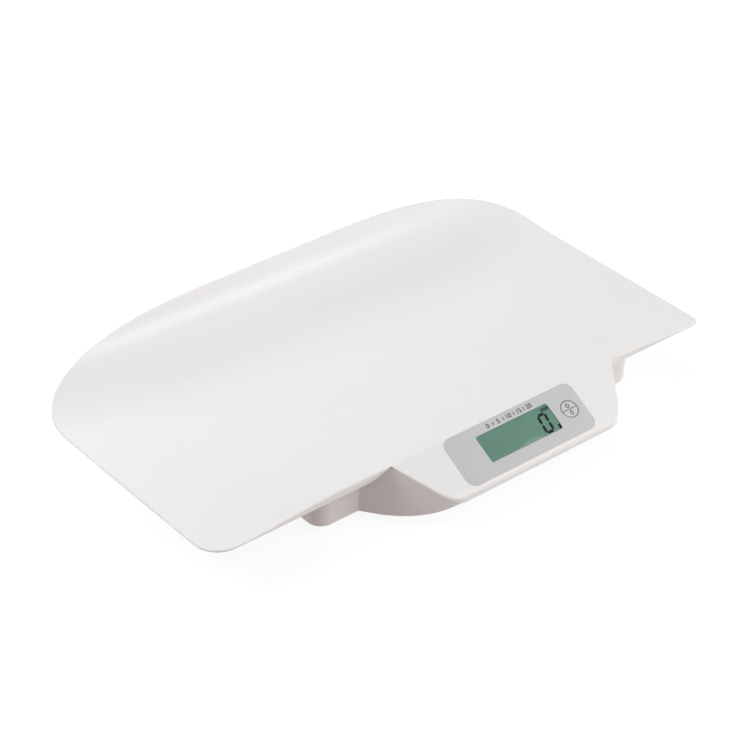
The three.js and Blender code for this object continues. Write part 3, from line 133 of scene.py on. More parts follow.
SCREW_PLACES += [(BASE_CENTRE + s * across * BASE_LENGTH / 2, BASE_FRONT + along * BASE_DEPTH)
                 for across, along in BASE_SCREW_SHARES for s in SIDES]

BAY_Y = 126.0
BAY_LENGTH, BAY_WIDTH, BAY_WALL = 51.3, 33.7, 1.8
BAY_ROOF = 17.2
BATTERY_Z = 11.25
BATTERY_PITCH = 11.3
DOOR_LENGTH, DOOR_WIDTH = 58.1, 44.7
DOOR_BOTTOM, DOOR_TOP = 3.7, 5.7
UNIT_PLACE = (BASE_CENTRE + 66, BAY_Y)
UNIT_RADIUS = 5.0


def placed(points):
    """Millimetres in the part's own frame to metres in the row frame."""
    return (np.asarray(points, float) - (0, SHIFT, 0)) * MM


def linked(name, data):
    """A new object of the scene."""
    obj = bpy.data.objects.new(name, data)
    bpy.context.scene.collection.objects.link(obj)
    return obj


def mesh_object(name, points, faces):
    """An object from points in millimetres and faces, with doubled points merged and normals outwards."""
    mesh = bpy.data.meshes.new(name)
    mesh.from_pydata(placed(points).tolist(), [], [tuple(int(i) for i in f) for f in faces])
    bm = bmesh.new()
    bm.from_mesh(mesh)
    bmesh.ops.remove_doubles(bm, verts=bm.verts, dist=2e-6)
    bmesh.ops.dissolve_degenerate(bm, edges=bm.edges, dist=1e-7)
    bmesh.ops.recalc_face_normals(bm, faces=bm.faces)
    bm.to_mesh(mesh)
    bm.free()
    return linked(name, mesh)


def evaluated_mesh(obj):
    """A new mesh of an object as its modifiers or its text leave it."""
    bpy.context.view_layer.update()
    graph = bpy.context.evaluated_depsgraph_get()
    return bpy.data.meshes.new_from_object(obj.evaluated_get(graph), depsgraph=graph)


def cut_with(obj, tool, operation="DIFFERENCE"):
    """Applies a Boolean with a tool object, which is then removed."""
    modifier = obj.modifiers.new("cut", "BOOLEAN")
    modifier.operation = operation
    modifier.solver = "MANIFOLD"
    modifier.object = tool
    made = evaluated_mesh(obj)
    obj.modifiers.clear()
    old = obj.data
    obj.data = made
    made.name = obj.name
    bpy.data.meshes.remove(old)
    bpy.data.objects.remove(tool, do_unlink=True)
    return obj


# Tray surface
APRON_CORNER_STEPS, APRON_FLAT_STEPS = 12, 36


def smooth(share):
    t = np.clip(share, 0, 1)
    return t * t * (3 - 2 * t)


def crown(x, run):
    """How far the deck rises towards its middle near the front."""
    across = smooth((CROWN_END_HALF - np.abs(x - CROWN_CENTRE)) / (CROWN_END_HALF - CROWN_FULL_HALF))
    return CROWN_RISE * across * smooth(1 - np.maximum(run, 0) / CROWN_RUN)


def crease_drop(x, y):
    """How far the surface lies below the deck's level, with a soft turn into the slope inside the apron."""
    fall = math.tan(APRON_SLOPE)
    sharp = np.minimum(y, 0) * fall
    spread = CREASE_DECK_SIDE - CREASE_SLOPE_SIDE
    inside = np.clip(y, -CREASE_SLOPE_SIDE, CREASE_DECK_SIDE)
    t = (CREASE_DECK_SIDE - np.sqrt(CREASE_DECK_SIDE ** 2 - spread * (CREASE_DECK_SIDE - inside))) / spread
    soft = np.where(y < -CREASE_SLOPE_SIDE, sharp, -t * t * CREASE_SLOPE_SIDE * fall)
    weight = smooth((APRON_HALF - np.abs(x - APRON_CENTRE)) / CREASE_FADE)
    return sharp + (soft - sharp) * weight


def surface(x, run, below):
    """Points of the tray's upper surface, or of one `below` it, at a run from the front edge."""
    x, run = np.broadcast_arrays(np.asarray(x, float), np.asarray(run, float))
    turn = np.maximum(run - FLOOR_RUN, 0) / BACK_RADIUS
    radius = BACK_RADIUS + below
    y = np.minimum(run, FLOOR_RUN) + radius * np.sin(turn)
    deck = DECK_TOP + crown(x, run) + crease_drop(x, run) - below
    wall = DECK_TOP + BACK_RADIUS - radius * np.cos(turn)
    return np.stack([x, y, np.where(run > FLOOR_RUN, wall, deck)], -1)


def surface_normal(run):
    turn = np.maximum(run - FLOOR_RUN, 0) / BACK_RADIUS
    return np.stack([np.zeros_like(turn), -np.sin(turn), np.cos(turn)], -1)


def apron_half(side, y, inset):
    """Half the apron's length on one side (-1 left, 1 right) at a place in its depth."""
    taper = np.where(np.asarray(side) < 0, APRON_TAPER[-1], APRON_TAPER[1])
    return APRON_HALF + taper * y - inset * np.hypot(1, taper)


def apron_corner(side, inset, front):
    """Shares of the half length and places in depth along one rounded front corner."""
    corner = max(APRON_CORNER[side] - inset, SHEET)
    half_a, half_b = apron_half(side, front + corner, inset), apron_half(side, front, inset)
    t = np.linspace(0, 1, APRON_CORNER_STEPS + 1)
    px = (1 - t) ** 2 * half_a + 2 * t * (1 - t) * half_b + t * t * (half_b - corner)
    py = (1 - t) ** 2 * (front + corner) + (1 - (1 - t) ** 2) * front
    return px / apron_half(side, py, inset), py, t


def apron_columns(inset, front_inset):
    """Shares of the half length and front ends of the apron's columns, left to right."""
    front = -APRON_REACH + front_inset
    left, left_y, t = apron_corner(-1, inset, front)
    right, right_y, _ = apron_corner(1, inset, front)
    flat = np.linspace(-left[-1], right[-1], APRON_FLAT_STEPS + 1)[1:-1]
    u = np.concatenate([-left, flat, right[::-1]])
    ends = np.concatenate([left_y, np.full(len(flat), front), right_y[::-1]])
    roll = np.concatenate([t, np.ones(len(flat)), t[::-1]])
    return u, ends, roll


def apron_grid(inset, front_inset, back, rows):
    """X and run of the apron's grid: columns from left to right, rows from `back` to the front."""
    u, ends, roll = apron_columns(inset, front_inset)
    y = back + (ends[:, None] - back) * rows[None, :]
    x = APRON_CENTRE + u[:, None] * apron_half(u[:, None], y, inset)
    return x, y


CORNER_ANGLES = np.radians(np.linspace(90, 0, 26))
LEFT_SHARES = np.linspace(0, 1, 26)[1:-1]
RIGHT_SHARES = np.linspace(0, 1, 15)[1:-1]
# shares of the floor's depth and of the apron's, closer together at the crease between them
DECK_ROWS = np.concatenate([
    np.array([0, 0.6, 1.2, 2, 3, 4.2, 5.5, 7, 9, 12]) / 210, np.linspace(0.08, 1, 28)])
WALL_ROWS = np.linspace(0, 1, 37)[1:]
APRON_ROWS = np.concatenate([np.array([0, 0.012, 0.025, 0.04, 0.055, 0.075, 0.1]), np.linspace(0.15, 1, 14)])


def deck_columns(inset, front_inset):
    """X and front run of each deck column, and the span of the columns that go on into the apron."""
    u, _, _ = apron_columns(inset, front_inset)
    corners = {}
    for side, radius in FRONT_CORNER.items():
        corner_x = TRAY_HALF - radius + (radius - inset) * np.sin(CORNER_ANGLES)
        corners[side] = side * corner_x, radius - (radius - inset) * np.cos(CORNER_ANGLES)
    (left_x, left_y), (right_x, right_y) = corners[-1], corners[1]
    apron_x = APRON_CENTRE + u * apron_half(u, inset, inset)
    left = left_x[-1] + (apron_x[0] - left_x[-1]) * LEFT_SHARES
    right = apron_x[-1] + (right_x[-1] - apron_x[-1]) * RIGHT_SHARES
    x = np.concatenate([left_x, left, apron_x, right, right_x[::-1]])
    plain = [np.full(len(part), inset) for part in (left, apron_x, right)]
    y = np.concatenate([left_y, *plain, right_y[::-1]])
    first = len(left_x) + len(left)
    return x, y, first, first + len(u) - 1


def back_end(x, inset):
    """The run at which the raised back ends: straight in the middle, rounded towards the sides."""
    middle = TRAY_HALF - BACK_CORNER_LENGTH
    share = np.clip((np.abs(x) - middle) / (BACK_CORNER_LENGTH - inset), 0, 1)
    sine = np.sqrt(np.maximum(1 - share ** BACK_CORNER_POWER, 0))
    return SIDE_END + (BACK_CORNER_RUN - inset) * sine ** (2 / BACK_CORNER_POWER)


def tray_grids(inset, front_inset, below):
    """Deck and apron grids of one surface of the tray's sheet, with the run of every deck point."""
    x, front, first, last = deck_columns(inset, front_inset)
    back = back_end(x, inset)
    floor = front[:, None] + (FLOOR_RUN - front[:, None]) * DECK_ROWS[None, :]
    wall = FLOOR_RUN + (back[:, None] - FLOOR_RUN) * WALL_ROWS[None, :]
    run = np.concatenate([floor, wall], 1)
    deck = surface(x[:, None], run, below)
    ax, ay = apron_grid(inset, front_inset, inset, APRON_ROWS)
    apron = surface(ax, ay, below / math.cos(APRON_SLOPE))
    apron[:, 0] = deck[first:last + 1, 0]
    return deck, apron, run, first, last


def boundary(deck, apron, first, last):
    """The closed edge of a deck and apron grid, counter-clockwise from above, from the back left."""
    parts = [
        deck[0, :0:-1], deck[0:first, 0], apron[0, :-1], apron[:-1, -1], apron[-1, :0:-1],
        deck[last:-1, 0], deck[-1, :-1], deck[:0:-1, -1],
    ]
    return np.concatenate(parts)


def conic(start, control, end, steps):
    """Points after `start` up to `end` on a rounded corner."""
    weight = math.sqrt(0.5)
    for i in range(1, steps + 1):
        t = i / steps
        a, b, c = (1 - t) ** 2, 2 * t * (1 - t) * weight, t * t
        yield (a * start + b * control + c * end) / (a + b + c)


def ring_faces(rings, count):
    for a, b in zip(rings, rings[1:]):
        for i in range(count):
            j = (i + 1) % count
            yield (a[i], b[i], b[j], a[j])


ROLL = 1.2
FRONT_ROLL = 2.3
LIP_RISE_RUN = 26.0
THIN_EDGE_RUN = 8.0
SLANT_TURN_START, SLANT_TURN_END = 0.8, 1.2
LIP_FOOT_ROLL = 0.35
SKIRT_LEAN = 0.48
SKIRT_REACH = 1.73
EDGE_STEPS, FOOT_STEPS, INNER_STEPS = 6, 5, 4


def edge_depths(outer, first_side):
    """How far the tray's edge reaches below its upper surface at each boundary point."""
    x, y, z = outer.T
    depth = np.full(len(outer), SHEET)
    front = (y < np.where(x < 0, FRONT_CORNER[-1], FRONT_CORNER[1])) & ~first_side
    to_end = APRON_CENTRE - APRON_HALF - x
    # the left skirt is cut off slanting beside the apron, with a soft turn into its full depth
    slant = np.clip(to_end / SKIRT_END_RUN, 0, None)
    turn = np.clip((slant - SLANT_TURN_START) / (SLANT_TURN_END - SLANT_TURN_START), 0, 1)
    slant = np.minimum(slant, SLANT_TURN_START) + (1 - SLANT_TURN_START) * turn * (2 - turn)
    thin = APEX_EDGE + (SHEET - APEX_EDGE) * smooth(to_end / THIN_EDGE_RUN)
    full = SHEET + (z - EDGE_HEIGHT - SHEET) * SKIRT_REACH
    skirt = np.where(x < 0, np.maximum(full * np.minimum(slant, 1), thin), full)
    depth = np.where(front, np.where(x < 0, skirt, np.maximum(full, SHEET)), depth)
    start = APEX_EDGE + (SHEET - APEX_EDGE) * smooth(-y / THIN_EDGE_RUN)
    lip = start + (APRON_LIP - SHEET) * smooth(-y / LIP_RISE_RUN)
    return np.where(first_side, lip, depth)


def tray_shell():
    top_deck, top_apron, run, first, last = tray_grids(ROLL, FRONT_ROLL, 0)
    under_deck, under_apron, _, _, _ = tray_grids(2 * ROLL, 2 * ROLL, SHEET)
    above_deck, above_apron, _, _, _ = tray_grids(2 * ROLL, 2 * ROLL, 0)
    out_deck, out_apron, _, _, _ = tray_grids(0, 0, 0)
    _, _, roll_share = apron_columns(ROLL, FRONT_ROLL)

    points = [top_deck.reshape(-1, 3), top_apron[:, 1:].reshape(-1, 3),
              under_deck.reshape(-1, 3), under_apron[:, 1:].reshape(-1, 3)]
    columns, rows = top_deck.shape[:2]
    apron_count, apron_rows = top_apron.shape[0], top_apron.shape[1] - 1
    half = columns * rows + apron_count * apron_rows

    def numbers(offset):
        deck = offset + np.arange(columns * rows).reshape(columns, rows)
        apron = offset + columns * rows + np.arange(apron_count * apron_rows).reshape(apron_count, apron_rows)
        return deck, np.concatenate([deck[first:last + 1, :1], apron], 1)

    faces = []
    for offset, flip in ((0, False), (half, True)):
        deck, apron = numbers(offset)
        quads = np.concatenate([
            np.stack([deck[:-1, :-1], deck[1:, :-1], deck[1:, 1:], deck[:-1, 1:]], -1).reshape(-1, 4),
            np.stack([apron[:-1, 1:], apron[1:, 1:], apron[1:, :-1], apron[:-1, :-1]], -1).reshape(-1, 4)])
        faces += (quads[:, ::-1] if flip else quads).tolist()

    def edge(deck, apron):
        return boundary(deck, apron, first, last)

    top, outer = edge(top_deck, top_apron), edge(out_deck, out_apron)
    above, under = edge(above_deck, above_apron), edge(under_deck, under_apron)
    on_apron = boundary(np.zeros((columns, rows)), np.ones(top_apron.shape[:2]), first, last) > 0
    # the apex points belong to the skirt and the apron alike
    runs = boundary(run, np.zeros(top_apron.shape[:2]), first, last)
    normal = surface_normal(runs)
    apron_share = np.repeat(roll_share[:, None], apron_rows + 1, 1)
    share = boundary(np.zeros((columns, rows)), apron_share, first, last)
    roll = (ROLL + (FRONT_ROLL - ROLL) * share)[:, None]
    depth = edge_depths(outer, on_apron)[:, None]
    inner_roll = np.clip(depth - SHEET, 0, ROLL)
    drop = np.minimum(roll, depth / 2)
    # the skirts lean inwards below their rolled edge
    inwards = (above - outer) * (SKIRT_LEAN / (2 * ROLL)) * (~on_apron)[:, None]
    tuck = inwards * np.maximum(depth - SHEET, 0)
    lower = outer - normal * depth + tuck
    # the lip above the tub keeps a sharp lower edge, so that only a fine seam shows
    foot_roll = np.where(on_apron, LIP_FOOT_ROLL, ROLL)[:, None]
    lower_middle = outer + (top - outer) * (foot_roll / roll) - normal * depth + tuck
    lower_inner = above - normal * np.maximum(depth, SHEET) + tuck

    rings = [top]
    rings += conic(top, outer, outer - normal * drop, EDGE_STEPS)
    wall = np.maximum(depth - foot_roll, drop)
    wall = outer - normal * wall + tuck * ((wall - drop) / np.maximum(depth - drop, SHEET / 4))
    rings.append(wall)
    rings += conic(wall, lower, lower_middle, FOOT_STEPS)
    rings += conic(lower_middle, lower_inner, lower_inner + normal * inner_roll, INNER_STEPS)
    count = len(top)
    base = 2 * half
    ids = [edge(*numbers(0))]
    for k, ring in enumerate(rings[1:]):
        points.append(ring)
        ids.append(base + k * count + np.arange(count))
    ids.append(edge(*numbers(half)))
    faces += list(ring_faces(ids, count))
    return mesh_object("tray_shell", np.concatenate(points), faces)


# Simple closed bodies
def circle(radius, x, y, sides):
    angle = np.linspace(0, 2 * math.pi, sides, endpoint=False)
    return np.column_stack([x + radius * np.cos(angle), y + radius * np.sin(angle)])


def lathe(name, profile, sides, centre):
    """A body of revolution about Z through profile points (radius, z)."""
    points, faces, ids = [], [], []
    for radius, z in profile:
        count = sides if radius else 1
        ids.append([len(points) + i % count for i in range(sides)])
        points += [(x, y, z) for x, y in circle(radius, *centre, count)]
    for a, b in zip(ids, ids[1:]):
        for i in range(sides):
            j = (i + 1) % sides
            face = list(dict.fromkeys([a[i], a[j], b[j], b[i]]))
            if len(face) > 2:
                faces.append(face)
    return mesh_object(name, points, faces)


def drum(name, radius, bottom, top, sides, centre):
    return lathe(name, [(0, bottom), (radius, bottom), (radius, top), (0, top)], sides, centre)


def rounded_outline(length, width, radius, x, y, steps):
    points = []
    for corner, (sx, sy) in enumerate(((1, 1), (-1, 1), (-1, -1), (1, -1))):
        for i in range(steps + 1):
            angle = (corner + i / steps) * math.pi / 2
            points.append((x + sx * (length / 2 - radius) + radius * math.cos(angle),
                           y + sy * (width / 2 - radius) + radius * math.sin(angle)))
    return np.array(points)


def loft(name, loops):
    """A closed body through loops of equal point count, capped at both ends."""
    count = len(loops[0])
    ids = [k * count + np.arange(count) for k in range(len(loops))]
    faces = [*ring_faces(ids, count), tuple(ids[0]), tuple(ids[-1][::-1])]
    return mesh_object(name, np.concatenate(loops), faces)


def at_height(outline, z):
    return np.column_stack([outline, np.full(len(outline), z)])


def slab(name, outline, z0, z1):
    return loft(name, [at_height(outline, z0), at_height(outline, z1)])


def bar(x0, y0, x1, y1):
    return [(x0, y0), (x1, y0), (x1, y1), (x0, y1)]


def cuboid(name, x0, x1, y0, y1, z0, z1):
    return slab(name, bar(x0, y0, x1, y1), z0, z1)


def column(name, radius, place, bottom, top):
    """A round post whose top follows a height function."""
    ring = circle(radius, *place, 32)
    upper = at_height(ring, 0)
    upper[:, 2] = top(ring[:, 0], ring[:, 1])
    return loft(name, [at_height(ring, bottom), upper])


def rounded_slab(name, outline_at, z0, z1, bottom_round=0.0, top_round=0.0, steps=5):
    """A slab whose outline is a function of an inset, with rounded lower and upper edges."""
    loops = []
    for z, size, way in ((z0, bottom_round, 1), (z1, top_round, -1)):
        for angle in np.linspace(0, math.pi / 2, steps + 1)[::way] if size else [math.pi / 2]:
            outline = outline_at(size * (1 - math.sin(angle)))
            loops.append(at_height(outline, z + way * size * (1 - math.cos(angle))))
    return loft(name, loops)


def rectangle_at(length, width, radius, x, y, steps):
    """The outline of a rounded rectangle as a function of an inset."""
    def outline(inset):
        return rounded_outline(length - 2 * inset, width - 2 * inset, max(radius - inset, 0.05), x, y, steps)
    return outline


def overlay_slab(name, grow, *heights_and_rounds):
    """A flat slab with the label's outline, its length and width grown."""
    size = OVERLAY_LENGTH + grow, OVERLAY_HEIGHT + grow
    outline = rectangle_at(*size, OVERLAY_CORNER, 0, -OVERLAY_MIDDLE, 16)
    return rounded_slab(name, outline, *heights_and_rounds)


def window_slab(name, grow, *heights_and_rounds):
    """A flat slab with the display window's outline, its length and width grown."""
    size = WINDOW_LENGTH + grow, WINDOW_HEIGHT + grow
    outline = rectangle_at(*size, WINDOW_CORNER, 0, -WINDOW_MIDDLE, 8)
    return rounded_slab(name, outline, *heights_and_rounds)


def lower_edge(radius, z, size):
    """Profile of a rounded lower edge that ends at a radius."""
    turn = np.radians(np.linspace(0, 90, 6))
    return [(radius - size * (1 - math.sin(a)), z + size * (1 - math.cos(a))) for a in turn]


def on_slope(obj):
    """Moves a body drawn flat (X across, Y up the slope, Z out of the surface) onto the apron."""
    flat = Matrix.Translation(Vector((0, SHIFT * MM, 0)))
    turn = Matrix.Rotation(APRON_SLOPE, 4, "X")
    put = Matrix.Translation(Vector((APRON_CENTRE * MM, -SHIFT * MM, CREASE_TOP * MM)))
    obj.data.transform(put @ turn @ flat)
    return obj


def joined(name, objects):
    """One object out of several separate bodies."""
    bm = bmesh.new()
    for obj in objects:
        bm.from_mesh(obj.data)
        bpy.data.objects.remove(obj, do_unlink=True)
    mesh = bpy.data.meshes.new(name)
    bm.to_mesh(mesh)
    bm.free()
    return linked(name, mesh)


def softened(obj, width):
    """Rounds the sharp edges of a simple body."""
    bm = bmesh.new()
    bm.from_mesh(obj.data)
    bmesh.ops.remove_doubles(bm, verts=bm.verts, dist=1e-6)
    bmesh.ops.dissolve_limit(bm, angle_limit=math.radians(1), verts=bm.verts, edges=bm.edges)
    edges = [e for e in bm.edges if len(e.link_faces) == 2 and e.calc_face_angle() > math.radians(40)]
    bmesh.ops.bevel(bm, geom=edges, offset=width * MM, segments=3, profile=0.5, affect="EDGES")
    bmesh.ops.recalc_face_normals(bm, faces=bm.faces)
    bm.to_mesh(obj.data)
    bm.free()
    return obj


# Tray with its ribs, bosses and openings
RIB_RUNS = [FLOOR_RUN * share for share in (0.26, 0.53, 0.8)]
RIB_ROOT, RIB_TIP, RIB_WALL, RIB_ROUND = 13.0, 4.0, 2.0, 0.8
RIB_END_MARGIN, RIB_CLEARANCE = 14, 2
OVERLAP = 0.5
CUT_OVER, CUT_UNDER = 3, 4
BOSS_RADIUS, SCREW_BORE_RADIUS, BOSS_BORE_DEPTH = 4, 1.8, 8.6
BOARD_BOSS_RADIUS, BOARD_BORE_RADIUS, BOARD_BOSS_END = 3, 1.3, -9


def sheet_middle(x, y):
    """Height of the middle of the tray's sheet, into which ribs and bosses reach."""
    past = np.maximum(y - FLOOR_RUN, 0)
    radius = BACK_RADIUS + SHEET / 2
    curved = DECK_TOP + crown(x, y) + BACK_RADIUS - np.sqrt(radius ** 2 - past ** 2)
    slope = CREASE_TOP + y * math.tan(APRON_SLOPE) - SHEET / 2 / math.cos(APRON_SLOPE)
    return np.where(y < 0, slope, curved)


def rib(root, tip, y):
    """A rib under a wing of the tray, lower towards its tip, with rounded lower edges."""
    loops = []
    turn = np.radians(np.linspace(0, 90, 5))
    for share in np.linspace(0, 1, 26):
        x = root + (tip - root) * share
        low = DECK_TOP - SHEET - RIB_ROOT + (RIB_ROOT - RIB_TIP) * share
        top = float(sheet_middle(x, y + RIB_WALL / 2))
        left = [(y + RIB_ROUND * (1 - math.cos(a)), low + RIB_ROUND * (1 - math.sin(a))) for a in turn]
        right = [(2 * y + RIB_WALL - py, pz) for py, pz in reversed(left)]
        loops.append(np.array([(x, py, pz) for py, pz in [(y, top), *left, *right, (y + RIB_WALL, top)]]))
    return loft("rib", loops)


def tray_piece():
    shell = tray_shell()
    tip = TRAY_HALF - RIB_END_MARGIN
    spans = [(BLOCK_LEFT - BLOCK_DRAFT - RIB_CLEARANCE, -tip),
             (BLOCK_RIGHT + BLOCK_DRAFT + RIB_CLEARANCE, tip)]
    under = [rib(root, end, y) for y in RIB_RUNS for root, end in spans]
    under += [column("boss", BOSS_RADIUS, place, POST_TOP + FIT_GAP, sheet_middle) for place in SCREW_PLACES]
    under += [on_slope(drum("board_boss", BOARD_BOSS_RADIUS, BOARD_BOSS_END, -SHEET / 2, 24, place))
              for place in BOARD_SCREWS]
    cut_with(shell, joined("under", under), "UNION")
    recess = overlay_slab("recess", 2 * PRINT_GAP, -OVERLAY_THICKNESS - FIT_GAP, CUT_OVER)
    cut_with(shell, on_slope(recess))
    holes = [on_slope(window_slab("window", 0, -CUT_UNDER, CUT_OVER)),
             on_slope(drum("key_hole", KEY_HOLE_RADIUS, -CUT_UNDER, CUT_OVER, 72, KEY_PLACE))]
    holes += [on_slope(drum("screw_hole", BOARD_BORE_RADIUS, BOARD_BOSS_END - OVERLAP, -GLASS_DEPTH, 20,
                            place)) for place in BOARD_SCREWS]
    holes += [drum("screw_hole", SCREW_BORE_RADIUS, POST_TOP - 1, POST_TOP + BOSS_BORE_DEPTH, 20, place)
              for place in SCREW_PLACES]
    return cut_with(shell, joined("holes", holes))


# Base shell
BLOCK_ROWS = (20, 34, 46)
RIM_PITCH = 12
HIGH_ABOVE = 90
BELLY_BACK = BLOCK_FRONT + BELLY_INTO_BLOCK
BELLY_ROLL = 2.0
BELLY_REVEAL = 0.15
BELLY_ROWS = np.linspace(0, 1, 41)
RAIL_WALL, RAIL_LIP, RAIL_BOTTOM, RAIL_LEDGE, RAIL_TOP, RAIL_ROUND = 2.0, 1.8, 2.0, 3.4, 7.5, 0.45
WELL_RADIUS, WELL_TOP = 19.6, 13
FOOT_HOLE_RADIUS, FOOT_HOLE_TOP, FOOT_HOLE_CHAMFER = 15, 14, 0.6
POST_RADIUS, POST_CHAMFER, BELLY_POST_FOOT = 4.5, 0.4, 10
SCREW_WELL_RADIUS = 3.6
HOLE_CHAMFER = 0.5
UNIT_POST_RADIUS, UNIT_POST_REACH, UNIT_POST_FOOT, UNIT_POST_TOP = 2.2, 9.8, 7, 15.9
UNIT_HOLE_TOP = 10
BAY_CORNER = 0.8
CONTACT_SLOT = 3


def tray_underside(x, y):
    past = np.maximum(y - FLOOR_RUN, 0)
    curved = DECK_TOP + BACK_RADIUS - np.sqrt((BACK_RADIUS + SHEET) ** 2 - past ** 2)
    return np.where(y > FLOOR_RUN, curved, DECK_TOP + crown(x, y) - SHEET)


def block_loop(z, inset):
    """The block's outline at a height, with so many points that its rim can follow the tray."""
    grow = BLOCK_DRAFT * ((z - BASE_CLEARANCE) / (CREASE_TOP - BASE_CLEARANCE)) - inset
    size = BLOCK_RIGHT - BLOCK_LEFT + 2 * grow, BASE_BACK - BLOCK_FRONT + 2 * grow
    centre = (BLOCK_LEFT + BLOCK_RIGHT) / 2, (BLOCK_FRONT + BASE_BACK) / 2
    outline = rounded_outline(*size, BLOCK_CORNER + grow, *centre, 14)
    finer = []
    for a, b in zip(outline, np.roll(outline, -1, 0)):
        pieces = max(1, round(np.hypot(*(b - a)) / RIM_PITCH))
        finer += [a + (b - a) * k / pieces for k in range(pieces)]
    return at_height(np.array(finer), z)


def block_top_loop(inset):
    loop = block_loop(EDGE_HEIGHT, inset)
    loop[:, 2] = tray_underside(loop[:, 0], loop[:, 1]) - SEAM_GAP
    return loop


def block_tub():
    loops = []
    for angle in np.radians(np.linspace(0, 90, 7)):
        loops.append(block_loop(BASE_CLEARANCE + BASE_EDGE * (1 - math.cos(angle)),
                                BASE_EDGE * (1 - math.sin(angle))))
    loops += [block_loop(z, 0) for z in BLOCK_ROWS]
    loops += [block_top_loop(0), block_top_loop(BASE_WALL)]
    loops += [block_loop(z, BASE_WALL) for z in (46, 30, BASE_CLEARANCE + BASE_WALL)]
    return loft("bottom_shell", loops)


def block_inside():
    return loft("inside", [block_loop(z, BASE_WALL) for z in (BASE_CLEARANCE + BASE_WALL, 40, HIGH_ABOVE)])


def belly_height(y, inner):
    start, radius = (BELLY_INNER_START, BELLY_INNER_RADIUS) if inner else (BELLY_START, BELLY_RADIUS)
    lowest = BASE_CLEARANCE + (BASE_WALL if inner else 0)
    reach = np.clip(start - y, 0, radius - 1)
    return lowest + radius - np.sqrt(radius ** 2 - reach ** 2)


def belly_top(x, y):
    lip = SHEET + (APRON_LIP - SHEET) * smooth(-y / LIP_RISE_RUN)
    slope = CREASE_TOP + np.minimum(y, 0) * math.tan(APRON_SLOPE)
    return np.where(y < 0, slope - lip, CREASE_TOP - SHEET) - TUB_SEAM


def belly_grid(inset, inner=False):
    x, y = apron_grid(inset, inset, BELLY_BACK - inset, BELLY_ROWS)
    return np.stack([x, y, belly_height(y, inner)], -1)


def around(grid):
    return np.concatenate([grid[0, :-1], grid[:-1, -1], grid[-1, :0:-1], grid[:0:-1, 0]])


def grid_body(name, low_grid, rings, high_grid=None):
    """A body from a grid below, rings around it and a grid or a flat cap above."""
    columns, rows = low_grid.shape[:2]
    size = columns * rows
    numbers = np.arange(size).reshape(columns, rows)
    corners = [numbers[:-1, :-1], numbers[:-1, 1:], numbers[1:, 1:], numbers[1:, :-1]]
    quads = np.stack(corners, -1).reshape(-1, 4)
    points, faces, total = [low_grid.reshape(-1, 3)], quads[:, ::-1].tolist(), size
    if high_grid is not None:
        points.append(high_grid.reshape(-1, 3))
        faces += (quads + size).tolist()
        total *= 2
    ids = [around(numbers)]
    count = len(ids[0])
    for ring in rings:
        points.append(ring)
        ids.append(total + np.arange(count))
        total += count
    if high_grid is not None:
        ids.append(around(numbers) + size)
    else:
        faces.append(tuple(ids[-1][::-1]))
    faces += list(ring_faces(ids, count))
    return mesh_object(name, np.concatenate(points), faces)


def belly_tub():
    """The curved tub in front of the block, on the apron's plan."""
    bottom = belly_grid(BELLY_ROLL + BELLY_REVEAL)
    inner = belly_grid(BASE_WALL + BELLY_REVEAL, True)
    edge, low, inside = around(belly_grid(BELLY_REVEAL)), around(bottom), around(inner)
    top, inner_top = edge.copy(), inside.copy()
    top[:, 2] = belly_top(edge[:, 0], edge[:, 1])
    inner_top[:, 2] = belly_top(inside[:, 0], inside[:, 1])

    def kept_below(points):
        limit = belly_top(points[..., 0], points[..., 1])
        return np.concatenate([points[..., :2], np.minimum(points[..., 2], limit)[..., None]], -1)

    rings = [kept_below(ring) for ring in conic(low, edge, edge + (0, 0, BELLY_ROLL), 6)]
    return grid_body("belly", kept_below(bottom), [*rings, top, inner_top], kept_below(inner))


def belly_inside():
    grid = belly_grid(BASE_WALL + BELLY_REVEAL, True)
    top = around(grid).copy()
    top[:, 2] = HIGH_ABOVE
    return grid_body("belly_inside", grid, [top])


def door_rails():
    half = DOOR_LENGTH / 2 + FIT_GAP
    front, back = BAY_Y - DOOR_WIDTH / 2 - FIT_GAP, BAY_Y + DOOR_WIDTH / 2
    x0, x1 = BASE_CENTRE - half, BASE_CENTRE + half
    rails = cuboid("rails", x0 - RAIL_WALL, x1 + RAIL_WALL, front - RAIL_WALL, back, RAIL_BOTTOM, RAIL_TOP)
    cut_with(rails, cuboid("room", x0, x1, front, back + 1, RAIL_LEDGE, RAIL_TOP + OVERLAP))
    cut_with(rails, cuboid("gap", x0 + RAIL_LIP, x1 - RAIL_LIP, front, back + 1, 0, RAIL_LEDGE + 1))
    return softened(rails, RAIL_ROUND)


def bay_box(name, grow, bottom, top):
    size = BAY_LENGTH + 2 * grow, BAY_WIDTH + 2 * grow
    return slab(name, rounded_outline(*size, BAY_CORNER + grow / 2, BASE_CENTRE, BAY_Y, 4), bottom, top)


def mouth(radius, depth, chamfer):
    """Profile of a hole that starts below the base, with a chamfered mouth."""
    low = BASE_CLEARANCE
    return [(0, low - 1), (radius + chamfer + 1, low - 1), (radius, low + chamfer), (radius, depth)]


def screw_cutter(place):
    """A counterbore with a screw hole above it; under the belly it has no mouth in the flat bottom."""
    in_block = place[1] > 0
    start = mouth(SCREW_WELL_RADIUS, SHOULDER_HEIGHT, HOLE_CHAMFER) if in_block else [
        (0, 0), (SCREW_WELL_RADIUS, 0), (SCREW_WELL_RADIUS, SHOULDER_HEIGHT)]
    hole = [(SCREW_BORE_RADIUS, SHOULDER_HEIGHT), (SCREW_BORE_RADIUS, POST_TOP + 1), (0, POST_TOP + 1)]
    return lathe("screw_cutter", start + hole, 48, place)


